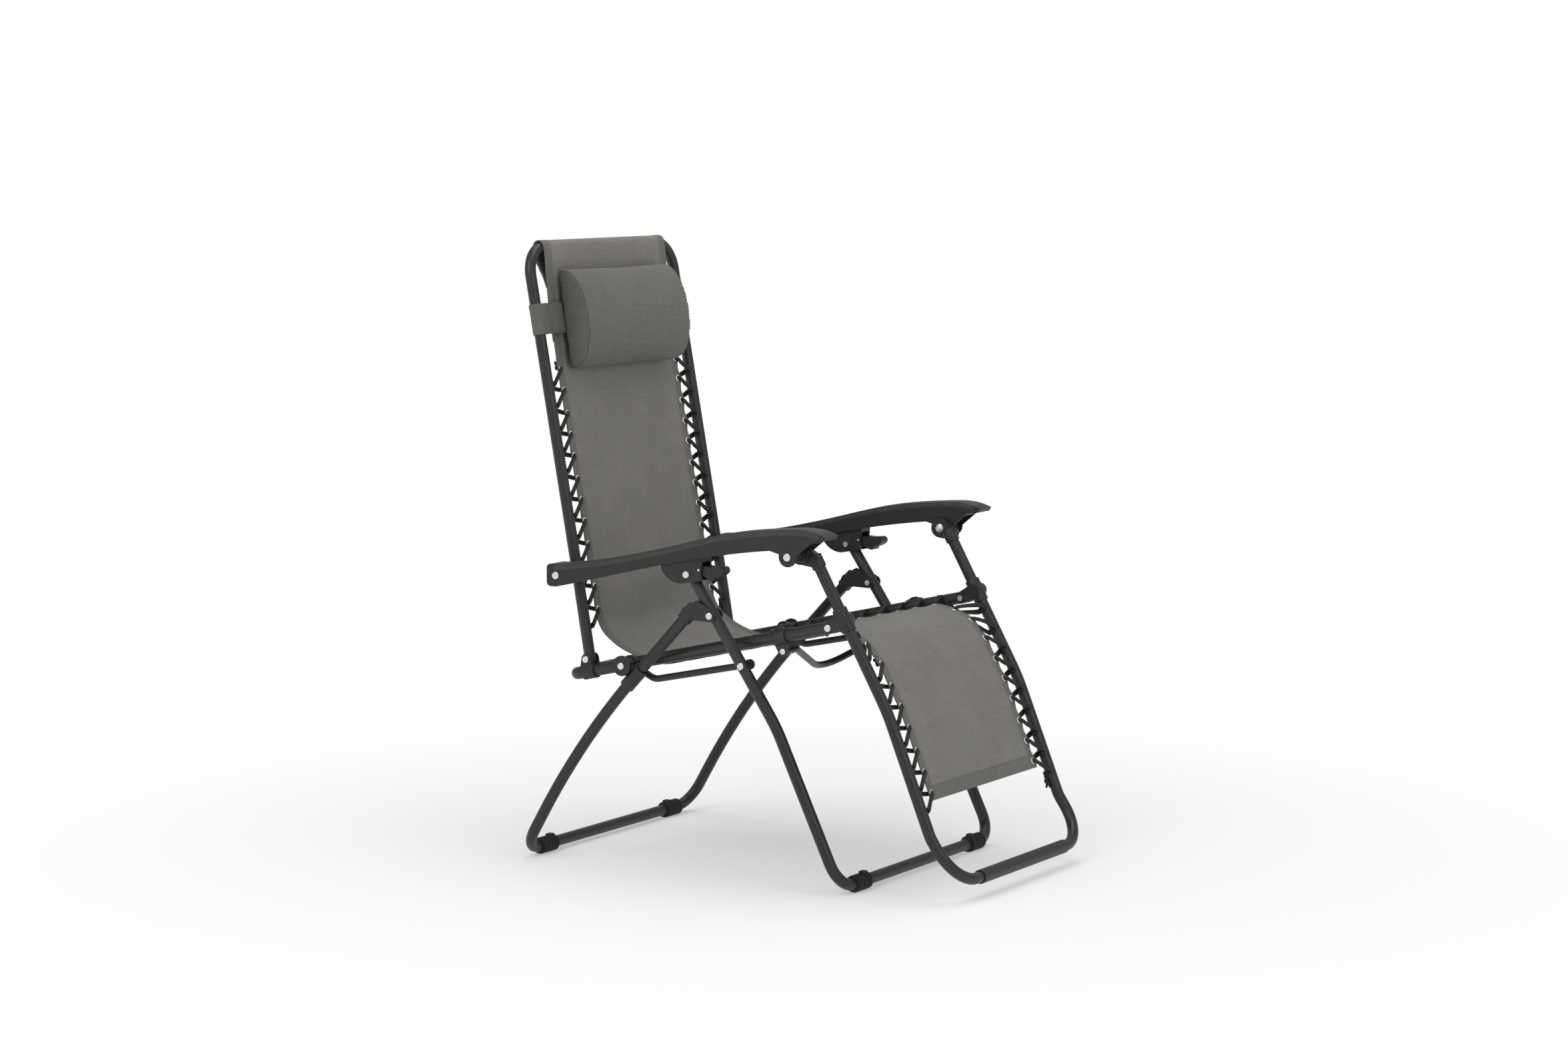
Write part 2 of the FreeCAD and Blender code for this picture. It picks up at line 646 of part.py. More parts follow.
def armrest():
    """A moulded channel, open below, with a boss at the rear and a lug at the front."""
    rear = at(arm_rear_pivot)
    front = at(arm_front_pivot)
    boss = 20.0
    lug = 17.0
    tip = front + Vector(76, 0, 38)
    top = [
        rear + Vector(0, 0, boss),
        rear + Vector(129, 0, 39),
        rear + Vector(254, 0, 68),
        rear + Vector(363, 0, 94),
        front + Vector(-7, 0, 46),
        front + Vector(48, 0, 46),
        tip,
    ]
    lug_rear = front + Vector(-lug, 0, 4)
    lug_front = front + Vector(lug, 0, 2)
    belly = [
        front + Vector(-36, 0, 9),
        rear + Vector(363, 0, 59),
        rear + Vector(212, 0, 30),
        rear + Vector(129, 0, 11),
        rear + Vector(0, 0, -boss),
    ]
    lip = tip + Vector(-4, 0, -7)
    lip_root = tip + Vector(-27, 0, -10)
    edges = [
        smooth_line(top),
        Part.makeLine(tip, lip),
        Part.makeLine(lip, lip_root),
        Part.makeLine(lip_root, lug_front),
        Part.Arc(lug_front, front + Vector(0, 0, -lug), lug_rear).toShape(),
        Part.makeLine(lug_rear, belly[0]),
        smooth_line(belly),
    ]
    edges += rounded_end(rear, boss)
    body = extruded_outline(edges, -arm_outer, -arm_inner)
    roof_drop = Vector(0, 0, -arm_wall - 0.5)
    roof = [rear + Vector(62, 0, 25)]
    roof += [point + roof_drop for point in top[1:5]]
    roof.append(front + Vector(44, 0, 42))
    depth = Vector(0, 0, -110)
    cavity_edges = [
        smooth_line(roof),
        Part.makeLine(roof[-1], roof[-1] + depth),
        Part.makeLine(roof[-1] + depth, roof[0] + depth),
        Part.makeLine(roof[0] + depth, roof[0]),
    ]
    body = body.cut(extruded_outline(cavity_edges, -arm_outer + arm_wall, -arm_inner - arm_wall))
    barrel = across_cylinder(arm_front_pivot, 10.0, -arm_outer, -arm_inner)
    body = body.fuse(barrel).removeSplitter()
    body = drill(body, arm_rear_pivot, bolt_hole, RIGHT_SIDE)
    body = drill(body, arm_front_pivot, bolt_radius, RIGHT_SIDE)
    save("armrest_right", body)
    save("armrest_left", mirrored(body))
    save("arm_front_bolts", pair(bolt(arm_front_pivot, -arm_outer, -arm_inner, 7.0, 3.0)))


# ---------------------------------------------------------------- sling, eyelets, cord
def sheet(points, half_width, thickness=sling_thickness):
    """A closed thin sheet across the chair that follows a side-view line."""
    upper = []
    lower = []
    for index, point in enumerate(points):
        before = at(points[max(index - 1, 0)])
        after = at(points[min(index + 1, len(points) - 1)])
        line = after - before
        line.normalize()
        offset = Vector(-line.z, 0, line.x) * (thickness / 2)
        upper.append(at(point) + offset)
        lower.append(at(point) - offset)
    outline = upper + list(reversed(lower))
    outline.append(outline[0])
    face = Part.Face(Part.makePolygon(outline))
    face.translate(Vector(0, -half_width, 0))
    return face.extrude(Vector(0, 2 * half_width, 0))


def line_places(points, pitch, inset):
    """Evenly spaced places along a side-view line, with the line's direction at each."""
    places = []
    carried = inset
    for index in range(len(points) - 1):
        start = at(points[index])
        line = at(points[index + 1]) - start
        length = line.Length
        line.normalize()
        while carried < length - 0.01:
            places.append((start + line * carried, line))
            carried += pitch
        carried -= length
    return places


def laced_sheet(name, points, tube, first_eyelet, strand_runs, extra=None):
    """Save a sheet with its eyelets and the cord strands that tie it to the tubes.

    tube is half the distance between the tubes, their radius, and their height over the sheet.
    strand_runs is how far along the tube the front and the rear strand end.
    """
    cloth = sheet(points, sling_half_width)
    rings = []
    cords = []
    for centre, line in line_places(points, eyelet_pitch, first_eyelet):
        normal = Vector(-line.z, 0, line.x)
        for side in (-1, 1):
            hole = centre + Vector(0, side * (sling_half_width - eyelet_inset), 0)
            base = hole - normal * (sling_thickness / 2 + 0.3)
            height = sling_thickness + 0.6
            cloth = cloth.cut(Part.makeCylinder(eyelet_outer, 40, hole - normal * 20, normal))
            ring = Part.makeCylinder(eyelet_outer, height, base, normal)
            rings.append(ring.cut(Part.makeCylinder(eyelet_inner, height, base, normal)))
            cords.append(cord_strands(hole, line, normal, side, tube, strand_runs))
    if extra is not None:
        cloth = cloth.fuse(extra).removeSplitter()
    save("sling_" + name, cloth)
    save(name + "_eyelets", Part.makeCompound(rings))
    save(name + "_cords", Part.makeCompound(cords))


def cord_strands(hole, line, normal, side, tube, strand_runs):
    """Elastic cord through an eyelet, with a strand on each face to the tube's inner side."""
    tube_side, radius, tube_rise = tube
    thickness = cord_radius * 0.8
    knuckle = thickness + 0.25
    hook = 3.6
    reach = radius + knuckle + 0.2
    pieces = []
    for lift, run in zip((hook, -hook), strand_runs):
        near = hole + normal * lift
        far = near + line * run
        far.y = side * (tube_side - math.sqrt(reach ** 2 - (lift - tube_rise) ** 2))
        pieces.append(Part.makeCylinder(thickness, (far - near).Length, near, far - near))
        pieces.append(Part.makeSphere(knuckle, near))
        pieces.append(Part.makeSphere(knuckle, far))
    stem = Part.makeCylinder(thickness, 2 * hook, hole - normal * hook, normal)
    return stem.fuse(pieces)


def under_rail(x):
    """The side-view place of the seat's cloth below the rail's centre line at x."""
    place = at(on_rail(x)) + direction(rail_slope - 90) * sling_drop
    return (place.x, place.z)


def slings():
    slanting = (27.0, 27.0 - eyelet_pitch)
    back_top = along(back_bend, top_bar, 0.965)
    back_low = along(back_pivot, back_bend, 0.42)
    hem_half = back_side - top_corner_radius - 1
    hem = across_ring(top_bar, tube_radius + 2.0, tube_radius + 0.1, -hem_half, hem_half)
    hem = hem.fuse(sheet([along(back_bend, top_bar, 0.981), back_top], hem_half))
    back_line = [back_top, back_bend, back_low]
    laced_sheet("back", back_line, (back_side, tube_radius, 0), 200.3, slanting, hem)
    seat_line = [under_rail(-205.0), under_rail(166.0)]
    laced_sheet("seat", seat_line, (seat_side, rail_radius, sling_drop), 56.0, (-8.0, -8.0))
    shin_top = along(legrest_top, legrest_bend, 0.64)
    shin_low = along(legrest_bend, ankle_bend, 0.74)
    shin_line = [shin_top, legrest_bend, shin_low]
    laced_sheet("legrest", shin_line, (legrest_side, tube_radius, 0), eyelet_pitch / 2, slanting)


def pillow():
    """A D-shaped head pillow with an elastic strap around each back tube."""
    lean = at(top_bar) - at(back_bend)
    lean.normalize()
    forward = Vector(lean.z, 0, -lean.x)
    middle = at(back_bend) + lean * pillow_up_back + forward * 3.0
    half = pillow_height / 2
    low = middle - lean * half
    high = middle + lean * half
    bulge = 0.78
    edges = [
        Part.makeLine(low, high),
        Part.makeLine(high, high + forward * (pillow_depth * 0.3)),
        Part.Arc(
            high + forward * (pillow_depth * 0.3),
            middle + forward * pillow_depth,
            low + forward * (pillow_depth * 0.3),
        ).toShape(),
        Part.makeLine(low + forward * (pillow_depth * 0.3), low),
    ]
    save("pillow", extruded_outline(edges, -pillow_half_width, pillow_half_width))
    wrap_inner = tube_radius + 4.4
    wrap_outer = wrap_inner + 1.4
    tube = at(back_bend, -back_side) + lean * strap_up_back
    base = tube - lean * (strap_height / 2)
    loop = Part.makeCylinder(wrap_outer, strap_height, base, lean)
    loop = loop.cut(Part.makeCylinder(wrap_inner, strap_height, base, lean))
    reach = back_side - wrap_inner * 0.3 - pillow_half_width - 0.2
    tape = Part.makeBox(1.4, reach, strap_height)
    tape.rotate(Vector(0, 0, 0), Vector(0, 1, 0), math.degrees(math.atan2(lean.x, lean.z)))
    tape.translate(base + forward * wrap_inner + Vector(0, wrap_inner * 0.3, 0))
    save("pillow_straps", pair(loop.fuse(tape).removeSplitter()))


def build_all():
    rear_leg()
    front_leg()
    armrest_bracket()
    lock_levers()
    slider()
    link()
    seat()
    back()
    legrest()
    armrest()
    slings()
    pillow()


os.makedirs("parts", exist_ok=True)
build_all()
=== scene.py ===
import json
import math

import bmesh
import bpy
import numpy as np
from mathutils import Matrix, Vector
from mathutils.bvhtree import BVHTree


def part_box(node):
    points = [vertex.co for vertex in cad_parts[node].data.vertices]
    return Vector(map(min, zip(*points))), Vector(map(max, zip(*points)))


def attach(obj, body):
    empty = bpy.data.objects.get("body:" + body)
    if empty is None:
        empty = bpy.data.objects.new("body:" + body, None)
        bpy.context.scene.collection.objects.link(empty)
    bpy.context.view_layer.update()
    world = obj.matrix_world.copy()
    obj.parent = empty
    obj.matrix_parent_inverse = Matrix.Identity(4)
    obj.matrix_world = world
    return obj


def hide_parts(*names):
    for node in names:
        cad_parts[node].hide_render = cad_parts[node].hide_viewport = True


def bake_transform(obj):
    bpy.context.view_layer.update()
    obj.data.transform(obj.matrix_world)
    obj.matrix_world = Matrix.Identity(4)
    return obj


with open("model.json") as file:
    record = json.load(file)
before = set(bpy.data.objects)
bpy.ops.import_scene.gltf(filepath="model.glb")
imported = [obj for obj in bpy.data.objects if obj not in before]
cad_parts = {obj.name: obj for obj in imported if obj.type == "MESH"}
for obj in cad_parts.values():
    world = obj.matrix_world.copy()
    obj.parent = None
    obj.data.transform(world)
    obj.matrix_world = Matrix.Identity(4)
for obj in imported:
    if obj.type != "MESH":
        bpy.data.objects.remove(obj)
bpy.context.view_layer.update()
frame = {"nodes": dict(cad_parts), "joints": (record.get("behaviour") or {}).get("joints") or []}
nodes = frame["nodes"]
joint_place = {joint["name"]: joint["pos_m"] for joint in frame["joints"] if "pos_m" in joint}

MM = 0.001
TUBE = 10 * MM
RAIL = 11 * MM
CORD = 2.5 * MM


# ------------------------------------------------------------------ materials
class Shader:
    """Builds one node material; each method returns an output socket."""

    def __init__(self, name, roughness=0.5, metallic=0.0):
        self.material = bpy.data.materials.new(name)
        self.material.use_nodes = True
        self.tree = self.material.node_tree
        self.surface = self.tree.nodes["Principled BSDF"]
        self.surface.inputs["Roughness"].default_value = roughness
        self.surface.inputs["Metallic"].default_value = metallic

    def node(self, kind, **settings):
        made = self.tree.nodes.new("ShaderNode" + kind)
        for key, value in settings.items():
            if key in made.inputs:
                made.inputs[key].default_value = value
            else:
                setattr(made, key, value)
        return made

    def link(self, source, target):
        self.tree.links.new(source, target)

    def place(self, kind="Object", scale=(1, 1, 1), turn=(0, 0, 0)):
        coords = self.node("TexCoord").outputs[kind]
        mapping = self.node("Mapping")
        mapping.inputs["Scale"].default_value = scale
        mapping.inputs["Rotation"].default_value = turn
        self.link(coords, mapping.inputs["Vector"])
        return mapping.outputs["Vector"]

    def noise(self, vector, scale, detail=3.0, rough=0.55):
        made = self.node("TexNoise", Scale=scale, Detail=detail, Roughness=rough)
        self.link(vector, made.inputs["Vector"])
        return made.outputs["Fac"]

    def math(self, operation, first, second=0.0):
        made = self.node("Math", operation=operation)
        for slot, value in zip(made.inputs, (first, second)):
            if isinstance(value, (int, float)):
                slot.default_value = value
            else:
                self.link(value, slot)
        return made.outputs[0]

    def stretch(self, value, low, high, new_low, new_high):
        made = self.node("MapRange")
        for key, number in (("From Min", low), ("From Max", high), ("To Min", new_low), ("To Max", new_high)):
            made.inputs[key].default_value = number
        self.link(value, made.inputs["Value"])
        return made.outputs["Result"]

    def blend(self, factor, first, second):
        made = self.node("Mix", data_type="RGBA")
        if isinstance(factor, (int, float)):
            made.inputs[0].default_value = factor
        else:
            self.link(factor, made.inputs[0])
        for slot, value in ((6, first), (7, second)):
            if isinstance(value, tuple):
                made.inputs[slot].default_value = (*value, 1)
            else:
                self.link(value, made.inputs[slot])
        return made.outputs[2]

    def bump(self, height, distance, strength=1.0):
        made = self.node("Bump", Strength=strength, Distance=distance)
        self.link(height, made.inputs["Height"])
        self.link(made.outputs["Normal"], self.surface.inputs["Normal"])

    def color(self, socket):
        self.link(socket, self.surface.inputs["Base Color"])

    def rough(self, socket):
        self.link(socket, self.surface.inputs["Roughness"])

    def sheen(self, weight, roughness=0.5):
        self.surface.inputs["Sheen Weight"].default_value = weight
        self.surface.inputs["Sheen Roughness"].default_value = roughness


def powder_coat(name, dark, light):
    """Satin powder coat: fine orange peel, faint mottling and painted highlights on sharp edges."""
    shader = Shader(name, roughness=0.4)
    here = shader.place()
    mottle = shader.stretch(shader.noise(here, 28.0), 0.3, 0.7, 0.0, 1.0)
    base = shader.blend(mottle, dark, light)
    edges = shader.node("NewGeometry").outputs["Pointiness"]
    # Sharp convex edges are painted lighter, a painted edge highlight.
    painted_edge_highlight = shader.stretch(edges, 0.56, 0.66, 0.0, 0.45)
    shader.color(shader.blend(painted_edge_highlight, base, tuple(2.6 * c for c in light)))
    shader.rough(shader.stretch(shader.noise(here, 90.0), 0.3, 0.7, 0.33, 0.47))
    shader.bump(shader.noise(here, 900.0, detail=1.0), 0.00006, 0.6)
    return shader.material


def moulded_plastic(name, dark, light, rough_low=0.42, rough_high=0.58, grain=1400.0):
    """Matte moulded plastic with a fine spark-eroded grain and painted highlights on sharp edges."""
    shader = Shader(name, roughness=0.5)
    here = shader.place()
    mottle = shader.stretch(shader.noise(here, 45.0), 0.3, 0.7, 0.0, 1.0)
    base = shader.blend(mottle, dark, light)
    edges = shader.node("NewGeometry").outputs["Pointiness"]
    # Sharp convex edges are painted lighter, a painted edge highlight.
    painted_edge_highlight = shader.stretch(edges, 0.55, 0.68, 0.0, 0.5)
    shader.color(shader.blend(painted_edge_highlight, base, tuple(2.2 * c for c in light)))
    shader.rough(shader.stretch(shader.noise(here, 300.0), 0.3, 0.7, rough_low, rough_high))
    cells = shader.node("TexVoronoi", Scale=grain)
    shader.link(here, cells.inputs["Vector"])
    shader.bump(cells.outputs["Distance"], 0.00008, 0.5)
    return shader.material


def zinc(name, color, rough_low=0.18, rough_high=0.34):
    shader = Shader(name, roughness=0.25, metallic=1.0)
    here = shader.place()
    shader.color(shader.blend(shader.noise(here, 220.0), tuple(0.82 * c for c in color), color))
    shader.rough(shader.stretch(shader.noise(here, 500.0), 0.3, 0.7, rough_low, rough_high))
    shader.bump(shader.noise(here, 1500.0, detail=1.0), 0.00003, 0.5)
    return shader.material


def mesh_cloth(name, dark, light, kind="UV", warp=1.25, weft=0.95, twill=False, darker=1.0):
    """Coated-yarn mesh: plain or twill crossings, yarn streaks and slow colour drift."""
    shader = Shader(name, roughness=0.72)
    here = shader.place(kind)
    split = shader.node("SeparateXYZ")
    shader.link(here, split.inputs[0])
    across, down = split.outputs[0], split.outputs[1]
    if kind == "Object":
        down = split.outputs[2]
        across = shader.math("ADD", split.outputs[1], split.outputs[0])
    if twill:
        slant_a = shader.math("ADD", across, down)
        slant_b = shader.math("SUBTRACT", down, shader.math("MULTIPLY", across, 0.5))
        across, down = slant_a, slant_b
    warp_wave = shader.math("SINE", shader.math("MULTIPLY", across, math.tau / (warp * MM)))
    weft_wave = shader.math("SINE", shader.math("MULTIPLY", down, math.tau / (weft * MM)))
    crossing = shader.math("MULTIPLY", warp_wave, weft_wave)
    weave = shader.stretch(crossing, -1.0, 1.0, 0.0, 1.0)
    down_scale, across_scale = (700, 18, 18), (22, 620, 620)
    if kind == "Object":
        down_scale, across_scale = (18, 700, 18), (18, 22, 620)
    streak_down = shader.noise(shader.place(kind, down_scale), 1.0, 2.0)
    streak_across = shader.noise(shader.place(kind, across_scale), 1.0, 2.0)
    streaks = shader.math("ADD", streak_down, streak_across)
    slow = shader.noise(shader.place(kind), 7.0, 3.0)
    yarn = shader.math("ADD", shader.math("MULTIPLY", weave, 0.45), shader.math("MULTIPLY", streaks, 0.42))
    tone = shader.math("ADD", yarn, shader.math("MULTIPLY", slow, 0.30))
    mixed = shader.blend(shader.stretch(tone, 0.45, 1.1, 0.0, 1.0), tuple(darker * c for c in dark),
                         tuple(darker * c for c in light))
    shader.color(mixed)
    shader.rough(shader.stretch(weave, 0.0, 1.0, 0.62, 0.85))
    height = shader.math("ADD", weave, shader.math("MULTIPLY", streaks, 0.6))
    shader.bump(height, 0.00035, 0.55)
    shader.sheen(0.06, 0.45)
    return shader.material


def braided(name, color):
    """Round braided elastic; its UV runs along and around the cord."""
    shader = Shader(name, roughness=0.62)
    here = shader.place("UV", (1, 1, 1))
    split = shader.node("SeparateXYZ")
    shader.link(here, split.inputs[0])
    run = shader.math("MULTIPLY", split.outputs[0], math.tau / (2.4 * MM))
    turn = shader.math("MULTIPLY", split.outputs[1], math.tau * 3)
    one = shader.math("SINE", shader.math("ADD", run, turn))
    two = shader.math("SINE", shader.math("SUBTRACT", run, turn))
    braid = shader.stretch(shader.math("MULTIPLY", one, two), -1.0, 1.0, 0.0, 1.0)
    shader.color(shader.blend(braid, tuple(0.55 * c for c in color), tuple(1.8 * c for c in color)))
    shader.bump(braid, 0.00035, 0.8)
    return shader.material


charcoal = powder_coat("powder_coat", (0.0092, 0.0103, 0.0115), (0.0130, 0.0145, 0.0160))
plastic = moulded_plastic("black_plastic", (0.0085, 0.0092, 0.0092), (0.0122, 0.0130, 0.0130))
# The armrest top skin is the black plastic painted lighter, a painted highlight where light falls on the top.
painted_highlight_plastic = moulded_plastic("armrest_top_painted_highlight", (0.023, 0.025, 0.026), (0.033, 0.035, 0.036))
bracket_plastic = moulded_plastic("bracket_plastic", (0.0088, 0.0095, 0.0095), (0.0135, 0.0143, 0.0143),
                                  0.38, 0.52)
rubber = moulded_plastic("foot_rubber", (0.010, 0.010, 0.010), (0.016, 0.016, 0.016), 0.6, 0.8, 700.0)
bolt_zinc = zinc("bolt_zinc", (0.80, 0.80, 0.79))
eyelet_metal = zinc("eyelet_metal", (0.92, 0.91, 0.88), 0.14, 0.26)
CLOTH_DARK = (0.100, 0.095, 0.087)
CLOTH_LIGHT = (0.246, 0.236, 0.218)
cloth = mesh_cloth("sling_mesh", CLOTH_DARK, CLOTH_LIGHT)
hem_cloth = mesh_cloth("sling_hem", CLOTH_DARK, CLOTH_LIGHT, twill=True, darker=0.74)
pillow_cloth = mesh_cloth("pillow_mesh", CLOTH_DARK, CLOTH_LIGHT, kind="Object", darker=0.70)
pillow_side_cloth = mesh_cloth("pillow_side_mesh", CLOTH_DARK, CLOTH_LIGHT, kind="Object", warp=3.4, weft=3.0,
                               twill=True, darker=0.50)
strap_cloth = mesh_cloth("strap_mesh", CLOTH_DARK, CLOTH_LIGHT, darker=0.60)
thread = braided("sewing_thread", (0.060, 0.057, 0.052))
seam_thread = braided("pillow_seam_thread", (0.010, 0.010, 0.009))
cord_black = braided("elastic_cord", (0.005, 0.005, 0.005))

NODE_LOOKS = {
    charcoal: ("rear_leg_frame", "front_leg_frame", "seat_frame", "back_frame", "legrest_frame", "link_bars",
               "spreader_bar"),
    plastic: ("armrest_left", "armrest_right", "armrest_brackets", "lock_lever_right", "lock_lever_left",
              "footbar_cover"),
    bracket_plastic: ("rear_leg_clevises", "slider_brackets", "back_clevises", "knee_brackets",
                      "legrest_caps", "spreader_ears", "seat_rail_caps", "link_bushes", "link_washers",
                      "arm_rear_washers"),
    rubber: ("rear_feet", "front_feet"),
    bolt_zinc: ("leg_pivot_bolts", "leg_pivot_nuts", "link_bolts", "link_nuts", "bracket_bolts",
                "bracket_nuts", "lever_pins", "seat_pivot_bolts", "seat_pivot_nuts", "spreader_screws",
                "back_pivot_bolts", "back_pivot_nuts", "arm_rear_bolts", "arm_rear_nuts",
                "arm_front_bolts", "knee_bolts", "knee_nuts"),
}
for material, names in NODE_LOOKS.items():
    for name in names:
        nodes[name].data.materials.clear()
        nodes[name].data.materials.append(material)


# ------------------------------------------------------------------ rounded edges of moulded pieces
SOFT_EDGES = {
    2.4: ("armrest_left", "armrest_right"),
    1.2: ("armrest_brackets", "lock_lever_right", "lock_lever_left", "slider_brackets", "rear_leg_clevises"),
    0.8: ("back_clevises", "knee_brackets", "legrest_caps", "spreader_ears"),
}
for width, names in SOFT_EDGES.items():
    for name in names:
        weld = nodes[name].modifiers.new("Weld", "WELD")
        weld.merge_threshold = 0.02 * MM
        planes = nodes[name].modifiers.new("Planes", "DECIMATE")
        planes.decimate_type = "DISSOLVE"
        planes.angle_limit = math.radians(1.0)
        bevel = nodes[name].modifiers.new("Bevel", "BEVEL")
        bevel.width = width * MM
        bevel.segments = 3
        bevel.limit_method = "ANGLE"
        bevel.angle_limit = math.radians(38)
        bevel.use_clamp_overlap = True
        bevel.harden_normals = True


# ------------------------------------------------------------------ mesh helpers
class Build:
    """Gathers vertices, faces, material numbers and UVs, then makes one object."""

    def __init__(self):
        self.points = []
        self.faces = []
        self.slots = []
        self.uvs = []

    def add(self, points, faces, slot=0, uvs=None):
        start = len(self.points)
        self.points += [tuple(p) for p in points]
        for index, face in enumerate(faces):
            self.faces.append(tuple(start + corner for corner in face))
            self.slots.append(slot)
            self.uvs.append(uvs[index] if uvs else [(0.0, 0.0)] * len(face))

    def make(self, name, materials, sharp=40.0):
        mesh = bpy.data.meshes.new(name)
        mesh.from_pydata(self.points, [], self.faces)
        layer = mesh.uv_layers.new(name="UVMap")
        layer.data.foreach_set("uv", np.array([uv for face in self.uvs for uv in face], np.float32).ravel())
        mesh.polygons.foreach_set("material_index", self.slots)
        for material in materials:
            mesh.materials.append(material)
        mesh.shade_smooth()
        mesh.set_sharp_from_angle(angle=math.radians(sharp))
        mesh.update()
        piece = bpy.data.objects.new(name, mesh)
        bpy.context.scene.collection.objects.link(piece)
        return piece


def face_outward(piece, weld=0.0, split_large=False):
    """Turn every face outward, and optionally merge doubled points or split faces of over four corners."""
    fix = bmesh.new()
    fix.from_mesh(piece.data)
    if weld:
        bmesh.ops.remove_doubles(fix, verts=fix.verts, dist=weld)
    bmesh.ops.recalc_face_normals(fix, faces=fix.faces)
    if split_large:
        bmesh.ops.triangulate(fix, faces=[f for f in fix.faces if len(f.verts) > 4])
    fix.to_mesh(piece.data)
    fix.free()


def surface_of(piece):
    """A search tree over the faces of an object."""
    mesh = piece.data
    return BVHTree.FromPolygons([v.co for v in mesh.vertices], [p.vertices for p in mesh.polygons])


def smooth_line(points, step):
    """A Catmull-Rom curve through points, resampled at an even step."""
    points = [np.array(p, float) for p in points]
    ends = [2 * points[0] - points[1]] + points + [2 * points[-1] - points[-2]]
    dense = []
    for a, b, c, d in zip(ends, ends[1:], ends[2:], ends[3:]):
        gaps = [max(np.linalg.norm(q - p), 1e-9) ** 0.5 for p, q in ((a, b), (b, c), (c, d))]
        t1 = gaps[0]
        t2 = t1 + gaps[1]
        t3 = t2 + gaps[2]
        for t in np.linspace(t1, t2, 12, endpoint=False):
            ab = a + (b - a) * (t / t1)
            bc = b + (c - b) * ((t - t1) / (t2 - t1))
            cd = c + (d - c) * ((t - t2) / (t3 - t2))
            abc = ab + (bc - ab) * (t / t2)
            bcd = bc + (cd - bc) * ((t - t1) / (t3 - t1))
            dense.append(abc + (bcd - abc) * ((t - t1) / (t2 - t1)))
    dense.append(points[-1])
    dense = np.array(dense)
    run = np.concatenate([[0], np.cumsum(np.linalg.norm(np.diff(dense, axis=0), axis=1))])
    count = max(2, int(round(run[-1] / step)) + 1)
    even = np.linspace(0, run[-1], count)
    return np.stack([np.interp(even, run, dense[:, axis]) for axis in range(dense.shape[1])], 1)


def cord_mesh(build, points, radius, sides=8, step=2.5 * MM, slot=0):
    """A round cord along a smooth line, with domed ends."""
    line = smooth_line(points, step)
    tangents = np.gradient(line, axis=0)
    tangents /= np.linalg.norm(tangents, axis=1)[:, None]
    normal = np.cross(tangents[0], (0.3, 0.5, 0.8))
    normal /= np.linalg.norm(normal)
    rings = []
    scales = np.ones(len(line))
    scales[0] = scales[-1] = 0.45
    for centre, tangent, scale in zip(line, tangents, scales):
        normal = normal - tangent * (normal @ tangent)
        normal /= np.linalg.norm(normal)
        other = np.cross(tangent, normal)
        for k in range(sides):
            angle = math.tau * k / sides
            rings.append(centre + radius * scale * (normal * math.cos(angle) + other * math.sin(angle)))
    faces = []
    uvs = []
    for i in range(len(line) - 1):
        for k in range(sides):
            after = (k + 1) % sides
            faces.append((i * sides + k, i * sides + after, (i + 1) * sides + after, (i + 1) * sides + k))
            u0, u1 = i * step, (i + 1) * step
            v0, v1 = k / sides, (k + 1) / sides
            uvs.append([(u0, v0), (u0, v1), (u1, v1), (u1, v0)])
    faces.append(tuple(reversed(range(sides))))
    uvs.append([(0, 0)] * sides)
    faces.append(tuple((len(line) - 1) * sides + k for k in range(sides)))
    uvs.append([(0, 0)] * sides)
    build.add(rings, faces, slot, uvs)


def stitch(build, centre, along, up, slot, length=3.4 * MM, width=0.9 * MM, height=0.55 * MM):
    """One sewing stitch, a small pointed bead lying on the cloth."""
    centre, along, up = (np.array(v, float) for v in (centre, along, up))
    side = np.cross(up, along)
    points = [centre - along * length / 2, centre + along * length / 2, centre + side * width / 2,
              centre - side * width / 2, centre + up * height, centre - up * height * 0.4]
    faces = [(0, 2, 4), (2, 1, 4), (1, 3, 4), (3, 0, 4), (2, 0, 5), (1, 2, 5), (3, 1, 5), (0, 3, 5)]
    build.add(points, faces, slot)


# ------------------------------------------------------------------ sling line
top_bar = Vector((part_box("back_frame")[0].x + TUBE, 0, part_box("back_frame")[1].z - TUBE))
back_bend = Vector((-0.335, 0, 0.522))
seat_pivot = Vector(joint_place["seat_lift"])
lean = (back_bend - top_bar).normalized()
ahead = Vector((-lean.z, 0, lean.x))
SEAT_DROP = 4 * MM
rail_slope = math.radians(12.81)


def down_back(distance, forward):
    place = top_bar + lean * distance * MM + ahead * forward * MM
    return (place.x, place.z)


def under_rail(x):
    """The sling's place under the seat rail's centre line."""
    return (x, seat_pivot.z + (x - seat_pivot.x) * math.tan(rail_slope) - SEAT_DROP)


BAR_WRAP = 11.4
wrap = []
for step in range(9):
    turn = math.pi * step / 8
    wrap.append(down_back(-BAR_WRAP * math.sin(turn), -BAR_WRAP * math.cos(turn)))
POCKET = 74
path_points = [down_back(POCKET, 3.6), down_back(58, 1.0), down_back(38, -5.5), down_back(18, -10.6)]
path_points += wrap
path_points += [down_back(20, 10.6), down_back(40, 8.8), down_back(POCKET, 5.4), down_back(105, 3.0),
                down_back(145, 1.0), down_back(190, 0.0), down_back(300, 0.0), down_back(420, 0.0),
                down_back(530, 0.4), (-0.3345, 0.512), (-0.3282, 0.484)]
path_points += [(-0.3215, 0.447), (-0.3150, 0.424), (-0.3050, 0.409), (-0.2900, 0.3965), (-0.2700, 0.3845),
                (-0.2480, 0.3755), (-0.2250, 0.3690)]
path_points += [under_rail(x) for x in (-0.195, -0.15, -0.10, -0.05, 0.0, 0.05, 0.10, 0.14)]
